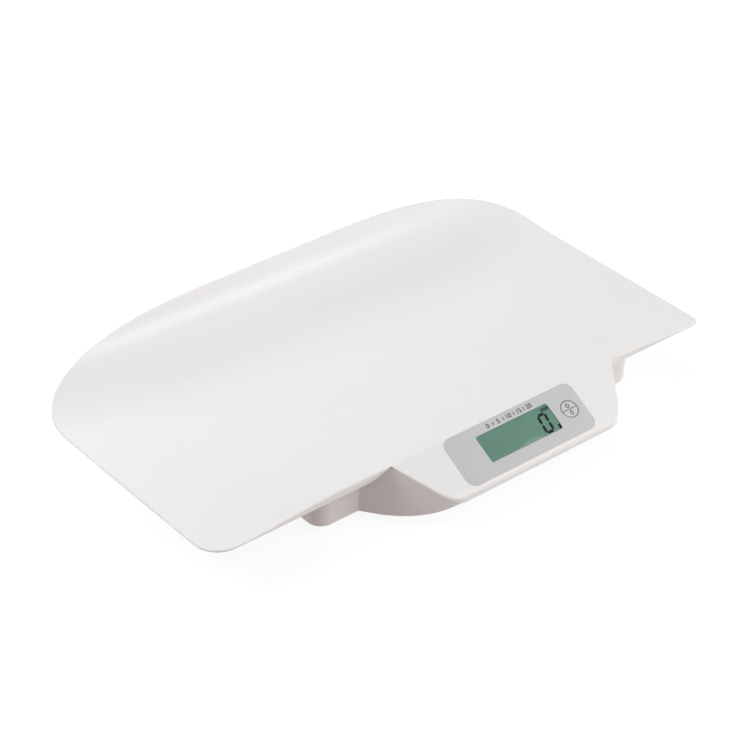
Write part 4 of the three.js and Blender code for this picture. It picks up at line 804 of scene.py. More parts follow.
def screw_post(place):
    foot = BASE_CLEARANCE + OVERLAP if place[1] > 0 else BELLY_POST_FOOT
    profile = [(0, foot), (POST_RADIUS, foot), (POST_RADIUS, POST_TOP - POST_CHAMFER),
               (POST_RADIUS - POST_CHAMFER, POST_TOP), (0, POST_TOP)]
    return lathe("post", profile, 32, place)


def base_piece():
    block = cut_with(block_tub(), belly_inside())
    cut_with(block, cut_with(belly_tub(), block_inside()), "UNION")
    foot = BASE_CLEARANCE + OVERLAP
    inner = [bay_box("bay", BAY_WALL, foot, BAY_ROOF + BAY_WALL), door_rails()]
    inner += [drum("well", WELL_RADIUS, foot, WELL_TOP, 64, place) for place in FOOT_PLACES.values()]
    inner += [screw_post(place) for place in SCREW_PLACES]
    inner += [drum("unit_post", UNIT_POST_RADIUS, UNIT_POST_FOOT, UNIT_POST_TOP, 24,
                   (UNIT_PLACE[0] + s * UNIT_POST_REACH, UNIT_PLACE[1])) for s in SIDES]
    cut_with(block, joined("inner", inner), "UNION")
    cutters = [bay_box("cavity", 0, -1, BAY_ROOF)]
    cutters += [screw_cutter(place) for place in SCREW_PLACES]
    foot_hole = [*mouth(FOOT_HOLE_RADIUS, FOOT_HOLE_TOP, FOOT_HOLE_CHAMFER), (0, FOOT_HOLE_TOP)]
    cutters += [lathe("foot_cutter", foot_hole, 72, place) for place in FOOT_PLACES.values()]
    unit_hole = [*mouth(UNIT_RADIUS + FIT_GAP, UNIT_HOLE_TOP, HOLE_CHAMFER), (0, UNIT_HOLE_TOP)]
    cutters.append(lathe("unit_cutter", unit_hole, 64, UNIT_PLACE))
    cut_with(block, joined("cutters", cutters))
    near, far, half = BAY_LENGTH / 2 - 1, BAY_LENGTH / 2 + BAY_WALL + 1, CONTACT_SLOT / 2
    slots = [cuboid("slot", *sorted((BASE_CENTRE + s * near, BASE_CENTRE + s * far)),
                    BAY_Y + s * BATTERY_PITCH - half, BAY_Y + s * BATTERY_PITCH + half,
                    BATTERY_Z - half, BATTERY_Z + half) for s in SIDES]
    return cut_with(block, joined("slots", slots))


# Display panel
PLATE_CORNER, PLATE_ROUND, PLATE_THICKNESS, PLATE_OVERLAP, CONTACT_LEDGE = 0.4, 0.1, 1.35, 0.05, 3
SEGMENT_SINK, SEGMENT_RISE = 0.02, 0.05
DIGIT_PLACE, DIGIT_SIZE = (22.7, -36.0), (10.4, 20.0)
DIGIT_BAR, DIGIT_SLANT, DIGIT_GAP = 2.7, 0.09, 0.25
ZERO_CORNERS = [(0, 1), (1, 1), (1, 0.5), (1, 0), (0, 0), (0, 0.5)]
POINT_OUTLINE = [(38.1, -36.3), (40.5, -36.3), (40.9, -31.6), (38.5, -31.6)]
CELL_MARK_PLACE, CELL_MARK_SIZE, CELL_MARK_LINE = (31.9, -15.7), (7.6, 3.6), 0.7
KEY_ROUND, KEY_DISH, KEY_DISH_PITCH = 0.35, 0.02, 1.2
KEY_STEM_RADIUS, KEY_STEM_FOOT, KEY_FLANGE, KEY_FLANGE_FOOT, KEY_FLANGE_TOP = 2, -4.2, 1.4, -3.9, -2.7
PRINT_HEIGHT, PRINT_SINK = 0.04, 0.05
NUMBER_SIZE, NUMBER_COUNT, NUMBER_STEP = 6.2, 5, 5
NUMBERS_LEFT, NUMBERS_RIGHT, NUMBERS_FOOT = -23.4, 24.0, -7.5


def overlay_piece():
    film = on_slope(overlay_slab("panel_film", 0, -OVERLAY_THICKNESS, 0, 0, 0.15, 3))
    cutters = [on_slope(window_slab("film_window", 0, -1, 1)),
               on_slope(drum("film_key", KEY_HOLE_RADIUS, -1, 1, 96, KEY_PLACE))]
    return cut_with(film, joined("film_cutters", cutters))


def glass_piece():
    """Two glass plates, the lower one's contact edge, and the polariser that reaches up into the window."""
    back, front = -GLASS_DEPTH - GLASS_THICKNESS, -GLASS_DEPTH

    def plate(name, ledge, z0, z1):
        size, middle = (GLASS_LENGTH, GLASS_HEIGHT - ledge), -WINDOW_MIDDLE - ledge / 2
        outline = rectangle_at(*size, PLATE_CORNER, 0, middle, 3)
        return rounded_slab(name, outline, z0, z1, PLATE_ROUND, PLATE_ROUND, 2)

    cell = plate("display_cell", 0, back, back + PLATE_THICKNESS)
    cut_with(cell, plate("upper", CONTACT_LEDGE, back + PLATE_THICKNESS - PLATE_OVERLAP, front), "UNION")
    cut_with(cell, window_slab("polariser", -PRINT_GAP, front - PLATE_ROUND, -PICTURE_DEPTH), "UNION")
    return on_slope(cell)


def zero_outlines():
    """Outlines of the six lit bars of a seven-segment zero."""
    half, outlines = DIGIT_BAR / 2, []
    room = np.array(DIGIT_SIZE) - DIGIT_BAR
    for a, b in zip(ZERO_CORNERS, ZERO_CORNERS[1:] + ZERO_CORNERS[:1]):
        start, end = half + room * a, half + room * b
        along = (end - start) / np.hypot(*(end - start))
        side = np.array([-along[1], along[0]]) * half
        start, end = start + along * DIGIT_GAP, end - along * DIGIT_GAP
        shape = [start, start + along * half + side, end - along * half + side, end,
                 end - along * half - side, start + along * half - side]
        outlines.append([(DIGIT_PLACE[0] + px + DIGIT_SLANT * py, DIGIT_PLACE[1] + py) for px, py in shape])
    return outlines


def frame_outlines(x, y, width, height, line):
    """Four bars around an empty rectangle."""
    right, top = x + width, y + height
    return [bar(x, y, right, y + line), bar(x, top - line, right, top),
            bar(x, y + line, x + line, top - line), bar(right - line, y + line, right, top - line)]


def digits_piece():
    """The digit, the point beside it and the battery mark above it, dark on the display's picture."""
    left, low = CELL_MARK_PLACE
    outlines = [*zero_outlines(), POINT_OUTLINE, *frame_outlines(left, low, *CELL_MARK_SIZE, CELL_MARK_LINE)]
    outlines.append(bar(left + 7.8, low + 1.0, left + 8.6, low + 2.6))
    outlines += [bar(x, low + 1.1, x + 1.5, low + 2.5) for x in (left + 1.1, left + 3.0, left + 4.9)]
    z0, z1 = -PICTURE_DEPTH - SEGMENT_SINK, -PICTURE_DEPTH + SEGMENT_RISE
    return on_slope(joined("display_digits", [slab("bar", outline, z0, z1) for outline in outlines]))


def key_piece():
    """The round key: a flange and a stem below, a rounded and very slightly dished cap above."""
    r = KEY_RADIUS
    turn = np.radians(np.linspace(0, 90, 5))
    cap = [(r - KEY_ROUND * (1 - math.cos(a)), -KEY_ROUND * (1 - math.sin(a))) for a in turn]
    below = [(0, KEY_STEM_FOOT), (KEY_STEM_RADIUS, KEY_STEM_FOOT), (KEY_STEM_RADIUS, KEY_FLANGE_FOOT),
             (r + KEY_FLANGE, KEY_FLANGE_FOOT), (r + KEY_FLANGE, KEY_FLANGE_TOP), (r, KEY_FLANGE_TOP)]
    dish = [(r - KEY_ROUND - KEY_DISH_PITCH * k, -KEY_DISH * k) for k in range(1, 5)]
    return on_slope(lathe("power_key", [*below, *cap, *dish, (0, -5 * KEY_DISH)], 96, KEY_PLACE))


def oval_ring(name, x, y, half_x, half_y, line, z0, z1, sides):
    unit = circle(1, 0, 0, sides)
    outer, inner = (unit * (half_x - cut, half_y - cut) + (x, y) for cut in (0, line))
    loops = [at_height(outer, z0), at_height(outer, z1), at_height(inner, z1), at_height(inner, z0)]
    ids = [k * sides + np.arange(sides) for k in (0, 1, 2, 3, 0)]
    return mesh_object(name, np.concatenate(loops), list(ring_faces(ids, sides)))


def arc_band(x, y, inner, outer, start, end, steps):
    angle = np.radians(np.linspace(start, end, steps + 1))
    return [(x + radius * math.cos(a), y + radius * math.sin(a))
            for radius, turn in ((outer, angle), (inner, angle[::-1])) for a in turn]


def key_print():
    """A ring at the key's edge, a line across it, an open ring with a stroke above and a zero below."""
    x, y = KEY_PLACE
    edge, across = KEY_RADIUS - 0.36, KEY_RADIUS - 0.9
    outlines = [bar(x - across, y - 0.26, x + across, y + 0.26),
                arc_band(x, y + 3.5, 1.55, 2.15, 125, 415, 28),
                bar(x - 0.32, y + 3.6, x + 0.32, y + 6.1)]
    parts = [oval_ring("key_ring", x, y, edge, edge, 0.42, -0.06, PRINT_HEIGHT, 96)]
    parts += [slab("mark", outline, -2 * PRINT_SINK, PRINT_HEIGHT) for outline in outlines]
    parts.append(oval_ring("zero_mark", x, y - 3.7, 1.6, 2.2, 0.62, -2 * PRINT_SINK, PRINT_HEIGHT, 40))
    return on_slope(joined("key_marks", parts))


def numeral(text, x, y):
    """A plain number as a thin raised body, centred on x and standing on y."""
    curve = bpy.data.curves.new("numeral", "FONT")
    curve.body = text
    curve.size = NUMBER_SIZE
    curve.align_x = "CENTER"
    curve.extrude = (PRINT_HEIGHT + PRINT_SINK) / 2
    curve.offset = NUMBER_SIZE * 0.012
    curve.resolution_u = 6
    text_object = linked("numeral", curve)
    mesh = evaluated_mesh(text_object)
    bpy.data.objects.remove(text_object, do_unlink=True)
    mesh.transform(Matrix.Translation(Vector((0, -SHIFT * MM, 0))) @ Matrix.Scale(MM, 4)
                   @ Matrix.Translation(Vector((x, y, (PRINT_HEIGHT - PRINT_SINK) / 2))))
    bm = bmesh.new()
    bm.from_mesh(mesh)
    bmesh.ops.remove_doubles(bm, verts=bm.verts, dist=1e-7)
    bm.to_mesh(mesh)
    bm.free()
    return linked("numeral", mesh)


def panel_print():
    """Plain numbers with a short stroke between each two, above the display."""
    pitch = (NUMBERS_RIGHT - NUMBERS_LEFT) / (NUMBER_COUNT - 1)
    parts = [numeral(str(NUMBER_STEP * k), NUMBERS_LEFT + pitch * k, NUMBERS_FOOT)
             for k in range(NUMBER_COUNT)]
    for k in range(NUMBER_COUNT - 1):
        x = NUMBERS_LEFT + pitch * (k + 0.5)
        outline = bar(x - 0.4, NUMBERS_FOOT + 0.3, x + 0.4, NUMBERS_FOOT + 3.4)
        parts.append(slab("stroke", outline, -PRINT_SINK, PRINT_HEIGHT))
    return on_slope(joined("panel_marks", parts))


# Feet, door, button and screws
PAD_RADIUS, PAD_HEIGHT = 12.5, 2.6
CUP_RADIUS, CUP_BOTTOM, CUP_TOP, CUP_NECK_RADIUS, CUP_NECK_TOP, CUP_CHAMFER = 14.7, 1.6, 9.0, 4.5, 13.0, 0.3
BUTTON_FACE = 5.0
DOOR_CORNER = 3.0
THUMB_LENGTH, THUMB_WIDTH, THUMB_CORNER, THUMB_DEPTH = 27, 13.6, 6.0, 0.45
RIDGE_LENGTH, RIDGE_SIZE, RIDGE_PITCH, RIDGE_COUNT = 22, 0.75, 2.8, 4
RIDGE_PLACES = [BAY_Y + DOOR_WIDTH / 4 + (k - 2) * RIDGE_PITCH + 0.7 for k in range(RIDGE_COUNT)]
ARROW_Y, ARROW_DEPTH = BAY_Y - 9.0, 0.35
ARROW = [(-1.1, -6), (1.1, -6), (1.1, 0), (3.6, 0), (0, 5), (-3.6, 0), (-1.1, 0)]
SCREW_HEAD_RADIUS, SCREW_HEAD_HEIGHT = 3.0, 2.3
SCREW_CREST, SCREW_ROOT, SCREW_PITCH, SCREW_TURNS, SCREW_LENGTH = 1.5, 1.15, 1.5, 7, 14.3
CROSS_LENGTH, CROSS_WIDTH, CROSS_TOP, CROSS_FOOT = 3.6, 0.95, 2.6, 0.9


def foot_pad(name, place):
    """A rubber pad with two ring grooves in its lower face."""
    profile = [(0, 0), (7.35, 0), (7.5, 0.15), (7.65, 0.6), (8.95, 0.6), (9.1, 0.15), (9.25, 0), (10.4, 0),
               (10.5, 0.35), (11.1, 0.35), (11.2, 0), *lower_edge(PAD_RADIUS, 0, 0.5),
               (PAD_RADIUS, PAD_HEIGHT), (0, PAD_HEIGHT)]
    return lathe(name, profile, 72, place)


def foot_cup(name, place):
    """The cup that holds a pad from below and stands with its neck on the load cell."""
    profile = [(0, 2.9), (12.8, 2.9), (12.8, 1.9), (13.1, 1.6), *lower_edge(CUP_RADIUS, CUP_BOTTOM, 0.6),
               (CUP_RADIUS, CUP_TOP - CUP_CHAMFER), (CUP_RADIUS - CUP_CHAMFER, CUP_TOP),
               (CUP_NECK_RADIUS, CUP_TOP), (CUP_NECK_RADIUS, CUP_NECK_TOP - CUP_CHAMFER),
               (CUP_NECK_RADIUS - CUP_CHAMFER, CUP_NECK_TOP), (0, CUP_NECK_TOP)]
    return lathe(name, profile, 72, place)


def door_piece():
    """The battery door, with a thumb recess, ridges in it and a cut arrow that shows which way it slides."""
    outline = rectangle_at(DOOR_LENGTH, DOOR_WIDTH, DOOR_CORNER, BASE_CENTRE, BAY_Y, 10)
    door = rounded_slab("bay_door", outline, DOOR_BOTTOM, DOOR_TOP, 0.5, 0.3, 4)
    middle = sum(RIDGE_PLACES) / RIDGE_COUNT
    thumb = rectangle_at(THUMB_LENGTH, THUMB_WIDTH, THUMB_CORNER, BASE_CENTRE, middle, 10)
    cut_with(door, rounded_slab("thumb", thumb, DOOR_BOTTOM - 1, DOOR_BOTTOM + THUMB_DEPTH))
    cut_with(door, joined("ridges", [ridge(y) for y in RIDGE_PLACES]), "UNION")
    arrow = [(BASE_CENTRE + x, ARROW_Y + y) for x, y in ARROW]
    return cut_with(door, slab("arrow", arrow, DOOR_BOTTOM - 1, DOOR_BOTTOM + ARROW_DEPTH))


def ridge(y):
    """A low rib with a round back and rounded ends, pointing down."""
    loops = []
    for share in np.arange(17) / 16:
        x = BASE_CENTRE + (share - 0.5) * RIDGE_LENGTH
        size = RIDGE_SIZE * math.sqrt(max(1 - (2 * share - 1) ** 10, 0.02))
        section = [(x, y + size * math.cos(a), DOOR_BOTTOM + 0.15 + size * math.sin(a))
                   for a in np.radians(np.linspace(180, 360, 9))]
        section += [(x, y + size, DOOR_BOTTOM + 1), (x, y - size, DOOR_BOTTOM + 1)]
        loops.append(np.array(section))
    return loft("ridge", loops)


def unit_button():
    """A round button with a slightly hollow face, a flange inside the base and a plunger."""
    r = UNIT_RADIUS
    profile = [(0, BUTTON_FACE + 0.15), (3.2, BUTTON_FACE + 0.1), (3.5, BUTTON_FACE),
               *lower_edge(r, BUTTON_FACE, 0.7), (r, 8.7), (r + 1.2, 8.7), (r + 1.2, 9.7), (1.7, 9.7),
               (1.7, 10.7), (0, 10.7)]
    return lathe("selector_button", profile, 72, UNIT_PLACE)


def wedge(place, length, width, z0, z1):
    """One arm of a cross recess, narrower at its top."""
    loops = []
    for half_x, half_y, z in ((length / 2, width / 2, z0), (length / 5, width / 3, z1)):
        loops.append(at_height(np.array(bar(-half_x, -half_y, half_x, half_y)) + place, z))
    return loft("slot", loops)


def screw_piece(name, place):
    """A screw with a domed head below, a cross recess in it and a thread above."""
    z = SHOULDER_HEIGHT - FIT_GAP
    head = [(SCREW_HEAD_RADIUS * math.sin(a), z - SCREW_HEAD_HEIGHT * (0.25 + 0.75 * math.cos(a) ** 0.8))
            for a in np.radians(np.linspace(0, 89, 10))]
    shank = []
    for k in range(SCREW_TURNS):
        shank += [(SCREW_CREST, z + 2.2 + k * SCREW_PITCH), (SCREW_ROOT, z + 2.2 + (k + 0.5) * SCREW_PITCH)]
    profile = [*head, (SCREW_HEAD_RADIUS, z), (SCREW_CREST, z), *shank, (0, z + SCREW_LENGTH)]
    body = lathe(name, profile, 40, place)
    cut_with(body, wedge(place, CROSS_LENGTH, CROSS_WIDTH, z - CROSS_TOP, z - CROSS_FOOT))
    return cut_with(body, wedge(place, CROSS_WIDTH, CROSS_LENGTH, z - CROSS_TOP, z - CROSS_FOOT))


# Materials
def add(tree, kind, *ordered, **named):
    """A shader node whose inputs, in order or by name, are set to values or linked to outputs."""
    node = tree.nodes.new("ShaderNode" + kind)
    by_name = [(key.replace("_", " "), value) for key, value in named.items()]
    for key, value in [*enumerate(ordered), *by_name]:
        if isinstance(value, bpy.types.NodeSocket):
            tree.links.new(value, node.inputs[key])
        elif node.inputs[key].type == "RGBA":
            node.inputs[key].default_value = (*value, 1)
        else:
            node.inputs[key].default_value = value
    return node


def noise(tree, scale, detail=3.0, rough=0.5, stretch=(1, 1, 1)):
    mapping = add(tree, "Mapping", Vector=add(tree, "TexCoord").outputs["Object"], Scale=stretch)
    texture = add(tree, "TexNoise", Vector=mapping.outputs["Vector"], Scale=scale, Detail=detail,
                  Roughness=rough)
    return texture.outputs["Fac"]


def spread(tree, value, low, high):
    """A number between low and high that follows a noise value."""
    node = add(tree, "MapRange", Value=value, From_Min=0.3, From_Max=0.7, To_Min=low, To_Max=high)
    return node.outputs["Result"]


def ramp(tree, value, stops, interpolation="LINEAR"):
    node = add(tree, "ValToRGB", value)
    node.color_ramp.interpolation = interpolation
    elements = node.color_ramp.elements
    for number, (place, colour) in enumerate(stops):
        element = elements[number] if number < 2 else elements.new(place)
        element.position, element.color = place, (*colour, 1)
    return node.outputs["Color"]


def tinted(tree, value, dark, light):
    return ramp(tree, value, [(0.3, dark), (0.7, light)])


def bumped(tree, value, distance, strength=1.0):
    return add(tree, "Bump", Height=value, Distance=distance, Strength=strength).outputs["Normal"]


def material(name, colour, roughness, metallic=0.0, **extra):
    """A material with constant values on its shader's own sockets, and its node tree."""
    mat = bpy.data.materials.new(name)
    mat.use_nodes = True
    inputs = mat.node_tree.nodes["Principled BSDF"].inputs
    values = {"Base Color": (*colour, 1), "Roughness": roughness, "Metallic": metallic}
    values.update({key.replace("_", " "): value for key, value in extra.items()})
    for key, value in values.items():
        inputs[key].default_value = value
    return mat, mat.node_tree


def painted(mat, colour, roughness, normal):
    shader = mat.node_tree.nodes["Principled BSDF"]
    for key, output in (("Base Color", colour), ("Roughness", roughness), ("Normal", normal)):
        mat.node_tree.links.new(output, shader.inputs[key])
    return mat


def moulded(name, dark, light, rough_low, rough_high, grain=2600.0, depth=0.00001, **extra):
    """Moulded plastic: faint mottling, uneven gloss and a fine spark-eroded grain."""
    mat, tree = material(name, light, rough_high, **extra)
    return painted(mat, tinted(tree, noise(tree, 14, 4), dark, light),
                   spread(tree, noise(tree, 900), rough_low, rough_high),
                   bumped(tree, noise(tree, grain, 2), depth, 0.6))


def metal(name, dark, light, low, high, stretch):
    """Brushed metal, its streaks along one direction."""
    mat, tree = material(name, light, high, 1.0)
    value = noise(tree, 900, 4, 0.6, stretch)
    return painted(mat, tinted(tree, value, dark, light), spread(tree, value, low, high),
                   bumped(tree, value, 0.00001, 0.5))


def circuit_board():
    """Green solder mask with lighter tracks between its fields."""
    mat, tree = material("solder_mask", (0.02, 0.12, 0.05), 0.4)
    where = add(tree, "TexCoord").outputs["Object"]
    brick = add(tree, "TexBrick", Vector=where, Scale=160, Mortar_Size=0.03, Color1=(0.012, 0.085, 0.035),
                Color2=(0.016, 0.1, 0.04), Mortar=(0.03, 0.17, 0.07))
    return painted(mat, brick.outputs["Color"], spread(tree, noise(tree, 300), 0.3, 0.5),
                   bumped(tree, brick.outputs["Fac"], 0.00005))


def battery_sleeve():
    """A printed sleeve: dark body, a copper band at one end and bare metal at the end faces."""
    mat, tree = material("cell_sleeve", (0.05, 0.1, 0.2), 0.35)
    split = add(tree, "SeparateXYZ", add(tree, "TexCoord").outputs["Generated"])
    bare, copper, dark = (0.55, 0.53, 0.5), (0.45, 0.2, 0.07), (0.02, 0.045, 0.09)
    stops = [(0.0, bare), (0.04, copper), (0.22, dark), (0.95, bare)]
    bands = ramp(tree, split.outputs["X"], stops, "CONSTANT")
    return painted(mat, bands, spread(tree, noise(tree, 400), 0.25, 0.4),
                   bumped(tree, noise(tree, 700), 0.00002, 0.4))


def bare_tree(mat):
    """A material's or a world's node tree without its nodes."""
    mat.use_nodes = True
    mat.node_tree.nodes.clear()
    return mat.node_tree


def clear_lens():
    """Clear plastic: lets the view through, with a gloss that grows towards grazing angles."""
    mat = bpy.data.materials.new("clear_acrylic")
    tree = bare_tree(mat)
    tint = tinted(tree, noise(tree, 120), (0.955, 0.97, 0.96), (0.975, 0.985, 0.98))
    normal = bumped(tree, noise(tree, 90, 2), 0.000004, 0.3)
    through = add(tree, "BsdfTransparent", Color=tint)
    gloss = add(tree, "BsdfGlossy", Roughness=spread(tree, noise(tree, 500), 0.03, 0.08), Normal=normal)
    fresnel = add(tree, "Fresnel", IOR=1.2, Normal=normal)
    mix = add(tree, "MixShader", fresnel.outputs[0], through.outputs[0], gloss.outputs[0])
    add(tree, "OutputMaterial", mix.outputs[0])
    return mat


def display(red, green, blue):
    """A linear colour from the three display values of a picture."""
    return tuple(((v / 255 + 0.055) / 1.055) ** 2.4 for v in (red, green, blue))


MATERIALS = {
    "shell": moulded("white_abs", display(234.4, 232.6, 231.2), display(235.4, 233.6, 232.2), 0.24, 0.28),
    "base": moulded("white_abs_base", display(232, 229.6, 228), display(234, 231.6, 230), 0.3, 0.38),
    "film": moulded("satin_film", display(196, 196, 196), display(200, 200, 200), 0.5, 0.6, 4200.0, 0.000004),
    "key": moulded("satin_key", display(200, 200, 200), display(205, 205, 205), 0.4, 0.5, 3800.0, 0.000006),
    "ink": moulded("black_ink", display(14, 14, 18), display(22, 22, 26), 0.5, 0.6, 5200.0, 0.000002,
                   Specular_IOR_Level=0.15),
    "segment": moulded("display_segment", display(6, 12, 10), display(12, 18, 15), 0.5, 0.6, 5200.0, 0.000002,
                       Specular_IOR_Level=0.1),
    "green": moulded("display_liquid", display(131, 176, 158), display(134, 179, 161), 0.5, 0.6, 5200.0,
                     0.000001, Specular_IOR_Level=0.1),
    "rubber": moulded("grey_rubber", display(62, 62, 64), display(78, 78, 80), 0.7, 0.85, 1800.0, 0.00003),
    "button": moulded("grey_button", display(112, 113, 116), display(124, 125, 128), 0.55, 0.7, 1800.0,
                      0.00002),
    "resin": moulded("black_resin", display(18, 18, 19), display(28, 28, 29), 0.25, 0.4, 900.0, 0.00002),
    "board": circuit_board(),
    "steel": metal("steel", display(150, 152, 155), display(186, 188, 190), 0.25, 0.4, (1, 8, 1)),
    "nickel": metal("nickel", display(178, 172, 160), display(208, 203, 190), 0.2, 0.35, (8, 1, 1)),
    "battery": battery_sleeve(),
    "lens": clear_lens(),
}
for tone, dark, light in (("red", (150, 24, 20), (172, 34, 28)), ("black", (22, 22, 24), (34, 34, 36)),
                          ("grey", (128, 130, 133), (148, 150, 153))):
    MATERIALS[f"lead_{tone}"] = moulded(f"{tone}_pvc", display(*dark), display(*light), 0.4, 0.55, 900.0,
                                        0.00002)


# Pieces
def finish_piece(obj, mat, replaces=(), body="root"):
    """Shades and paints a piece, hangs it under its body's empty, and hides the CAD nodes that it stands for.
    """
    obj.data.shade_smooth()
    obj.data.set_sharp_from_angle(angle=math.radians(32))
    obj.data.materials.clear()
    obj.data.materials.append(MATERIALS[mat])
    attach(obj, body)
    if replaces:
        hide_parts(*replaces)


finish_piece(tray_piece(), "shell", ["tray"])
finish_piece(base_piece(), "base", ["bottom_cover"])
finish_piece(overlay_piece(), "film", ["panel_overlay"])
finish_piece(on_slope(window_slab("display_lens", -PRINT_GAP, -LENS_THICKNESS, 0, 0, 0.2, 3)), "lens",
             ["lcd_window"])
finish_piece(glass_piece(), "green", ["lcd_glass"])
finish_piece(digits_piece(), "segment")
finish_piece(key_piece(), "key", ["zero_key"], "zero_key")
finish_piece(key_print(), "ink", body="zero_key")
finish_piece(panel_print(), "ink")
for where, spot in FOOT_PLACES.items():
    finish_piece(foot_pad(f"rubber_foot_{where}", spot), "rubber", [f"foot_pad_{where}"])
    finish_piece(foot_cup(f"foot_holder_{where}", spot), "base", [f"foot_cup_{where}"])
finish_piece(door_piece(), "base", ["battery_door"], "door")
finish_piece(unit_button(), "button", ["unit_button"], "unit_key")
for number, spot in enumerate(SCREW_PLACES, 1):
    finish_piece(screw_piece(f"shell_screw_{number}", spot), "steel", [f"cover_screw_{number}"])

# The solids that the scene keeps from the CAD, by material
CARRIED = {
    "shell": ["lcd_holder"],
    "rubber": ["zebra_connector"],
    "board": ["main_board", "unit_board"],
    "resin": ["controller_chip", "capacitor_1", "capacitor_2", "zero_switch_body", "unit_switch_body"],
    "nickel": ["crystal", "battery_plus_contact", "battery_minus_contact", "battery_bridge_1",
               "battery_bridge_2"],
    "button": ["zero_switch_stem", "unit_switch_stem"],
    "steel": [f"board_screw_{k}" for k in (1, 2, 3, 4)] + [f"load_cell_{where}" for where in FOOT_PLACES],
    "battery": [f"battery_{k}" for k in (1, 2, 3)],
    "lead_red": ["battery_lead_plus"],
    "lead_black": ["battery_lead_minus"],
    "lead_grey": ["unit_lead", *(f"cell_lead_{where}" for where in FOOT_PLACES)],
}
for mat, names in CARRIED.items():
    for name in names:
        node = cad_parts[name]
        node.data.materials.clear()
        node.data.materials.append(MATERIALS[mat])


# Stage, light and camera
FLOOR_HALF = 4.0
FLOOR_BOUNCE = (0.31, 0.27, 0.255)
FLOOR_UNDERLIGHT = 0.45
FLOOR_SHADE = 0.2
FLOOR_GLOW = 0.878
FLOOR_FADE_START, FLOOR_FADE_END = 0.35, 0.8
SKY_TINT = (1.0, 0.95, 0.88)
SKY_STRENGTH = 0.243
WHITE = (1, 1, 1)
LAMP_TARGET = Vector((0, 0, 0.05))
# name, azimuth and elevation in degrees, distance, width, height, power, colour
LAMPS = [
    ("back_high", 200, 65, 1.7, 0.9, 0.6, 4.0, (1.0, 0.88, 0.7)),
    ("left_high", 250, 65, 1.7, 0.9, 0.6, 2.6, (1.0, 0.78, 0.98)),
    ("left", 250, 45, 1.7, 0.9, 0.6, 9.1, (0.75, 0.94, 1.0)),
    ("left_low", 270, 9, 1.6, 1.2, 0.4, 3.9, (1.0, 0.76, 0.82)),
    ("back", 180, 27, 1.7, 0.9, 0.6, 11.2, (0.94, 0.95, 1.0)),
    ("front_low", 37, 11, 2.0, 2.2, 0.6, 15.0, (1.0, 0.9, 0.87)),
    ("right_low", 55, 11, 2.0, 2.2, 0.6, 8.5, (0.67, 1.0, 0.94)),
    ("front", 30, 45, 1.7, 0.9, 0.6, 1.2, (0.58, 1.0, 0.98)),
    ("front_step", 30, 27, 1.8, 0.9, 0.4, 3.2, (1.0, 0.82, 1.0)),
    ("wall_strip", 38, 45, 1.8, 0.8, 0.16, 3.6, (0.96, 0.96, 1.0)),
]
CAMERA_AZIMUTH, CAMERA_ELEVATION = -39.117, 34.268
# how far the middle of the tray's front edge lies right of, above and ahead of the camera, in millimetres
CAMERA_AIM = (84.37, -50.35, 2061.58)
PHOTO_PIXELS, FOCAL_PIXELS = 750, 2400
SENSOR_WIDTH = 36


def away_from(azimuth, elevation):
    """The unit direction that angles in degrees give; azimuth 0 is the front, 90 the right."""
    turn, rise = math.radians(azimuth), math.radians(elevation)
    return Vector((math.sin(turn) * math.cos(rise), -math.cos(turn) * math.cos(rise), math.sin(rise)))


def looking_ray(tree):
    """1 for rays that look at the surroundings: from the camera, in a reflection or through clear plastic."""
    path = add(tree, "LightPath")
    found = path.outputs["Is Camera Ray"]
    for kind in ("Is Glossy Ray", "Is Transmission Ray"):
        most = add(tree, "Math", found, path.outputs[kind])
        most.operation = "MAXIMUM"
        found = most.outputs["Value"]
    return found


def emission_background():
    """White wherever a ray looks at it, and a plain tinted sky as a light."""
    world = bpy.data.worlds.new("world")
    bpy.context.scene.world = world
    tree = bare_tree(world)
    light = add(tree, "Background", SKY_TINT, SKY_STRENGTH)
    white = add(tree, "Background", WHITE, 1.0)
    mix = add(tree, "MixShader", looking_ray(tree), light.outputs[0], white.outputs[0])
    add(tree, "OutputWorld", mix.outputs[0])


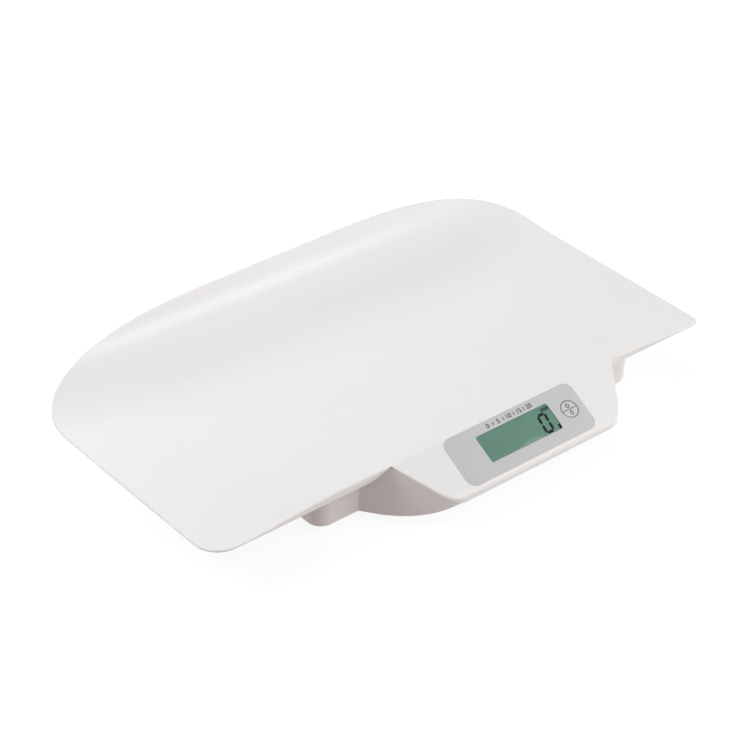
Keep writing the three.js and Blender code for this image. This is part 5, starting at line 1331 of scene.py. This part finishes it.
def floor():
    """A table that looks white with a faint shadow from above, and full white away from the part.

    It isn't in the way from below, and it sends a warm light back to the part."""
    size = FLOOR_HALF
    mesh = bpy.data.meshes.new("floor")
    mesh.from_pydata([(x, y, 0) for x, y in bar(-size, -size, size, size)], [], [(0, 1, 2, 3)])
    obj = linked("floor", mesh)
    mat = bpy.data.materials.new("floor_white")
    tree = bare_tree(mat)
    table = add(tree, "BsdfDiffuse", Color=FLOOR_BOUNCE)
    lit = add(tree, "Emission", Color=FLOOR_BOUNCE, Strength=FLOOR_UNDERLIGHT)
    bounce = add(tree, "AddShader", table.outputs[0], lit.outputs[0])
    far = add(tree, "VectorMath", add(tree, "TexCoord").outputs["Object"])
    far.operation = "LENGTH"
    rise = add(tree, "MapRange", Value=far.outputs["Value"], From_Min=FLOOR_FADE_START,
               From_Max=FLOOR_FADE_END, To_Min=FLOOR_GLOW, To_Max=1)
    glow = add(tree, "Emission", Color=WHITE, Strength=rise.outputs["Result"])
    seen = add(tree, "BsdfDiffuse", Color=(FLOOR_SHADE, FLOOR_SHADE, FLOOR_SHADE))
    looks = add(tree, "AddShader", seen.outputs[0], glow.outputs[0])
    by_ray = add(tree, "MixShader", looking_ray(tree), bounce.outputs[0], looks.outputs[0])
    back = add(tree, "NewGeometry").outputs["Backfacing"]
    by_side = add(tree, "MixShader", back, by_ray.outputs[0], add(tree, "BsdfTransparent").outputs[0])
    add(tree, "OutputMaterial", by_side.outputs[0])
    obj.data.materials.append(mat)


def area_light(name, azimuth, elevation, distance, width, height, power, colour):
    """A rectangular lamp at an angle around the part that looks at it; only a strip shows in gloss."""
    data = bpy.data.lights.new(name, "AREA")
    data.shape = "RECTANGLE"
    data.size, data.size_y = width, height
    data.energy = power
    data.color = colour
    away = away_from(azimuth, elevation)
    obj = linked(name, data)
    obj.location = LAMP_TARGET + away * distance
    obj.visible_glossy = name.endswith("strip")
    obj.rotation_euler = (-away).to_track_quat("-Z", "Y").to_euler()


def camera():
    back = away_from(CAMERA_AZIMUTH, CAMERA_ELEVATION)
    right = Vector((0, 0, 1)).cross(back).normalized()
    up = back.cross(right)
    across, rise, away = CAMERA_AIM
    seen = Vector((0, -SHIFT, EDGE_HEIGHT))
    place = (seen - right * across - up * rise + back * away) * MM
    data = bpy.data.cameras.new("camera")
    data.sensor_fit = "HORIZONTAL"
    data.sensor_width = SENSOR_WIDTH
    data.lens = FOCAL_PIXELS / PHOTO_PIXELS * SENSOR_WIDTH
    data.clip_start, data.clip_end = 0.05, 50
    obj = linked("camera", data)
    obj.matrix_world = Matrix((
        (right.x, up.x, back.x, place.x), (right.y, up.y, back.y, place.y),
        (right.z, up.z, back.z, place.z), (0, 0, 0, 1)))
    bpy.context.scene.camera = obj


emission_background()
floor()
for lamp in LAMPS:
    area_light(*lamp)
camera()
bpy.context.scene.view_settings.view_transform = "Standard"
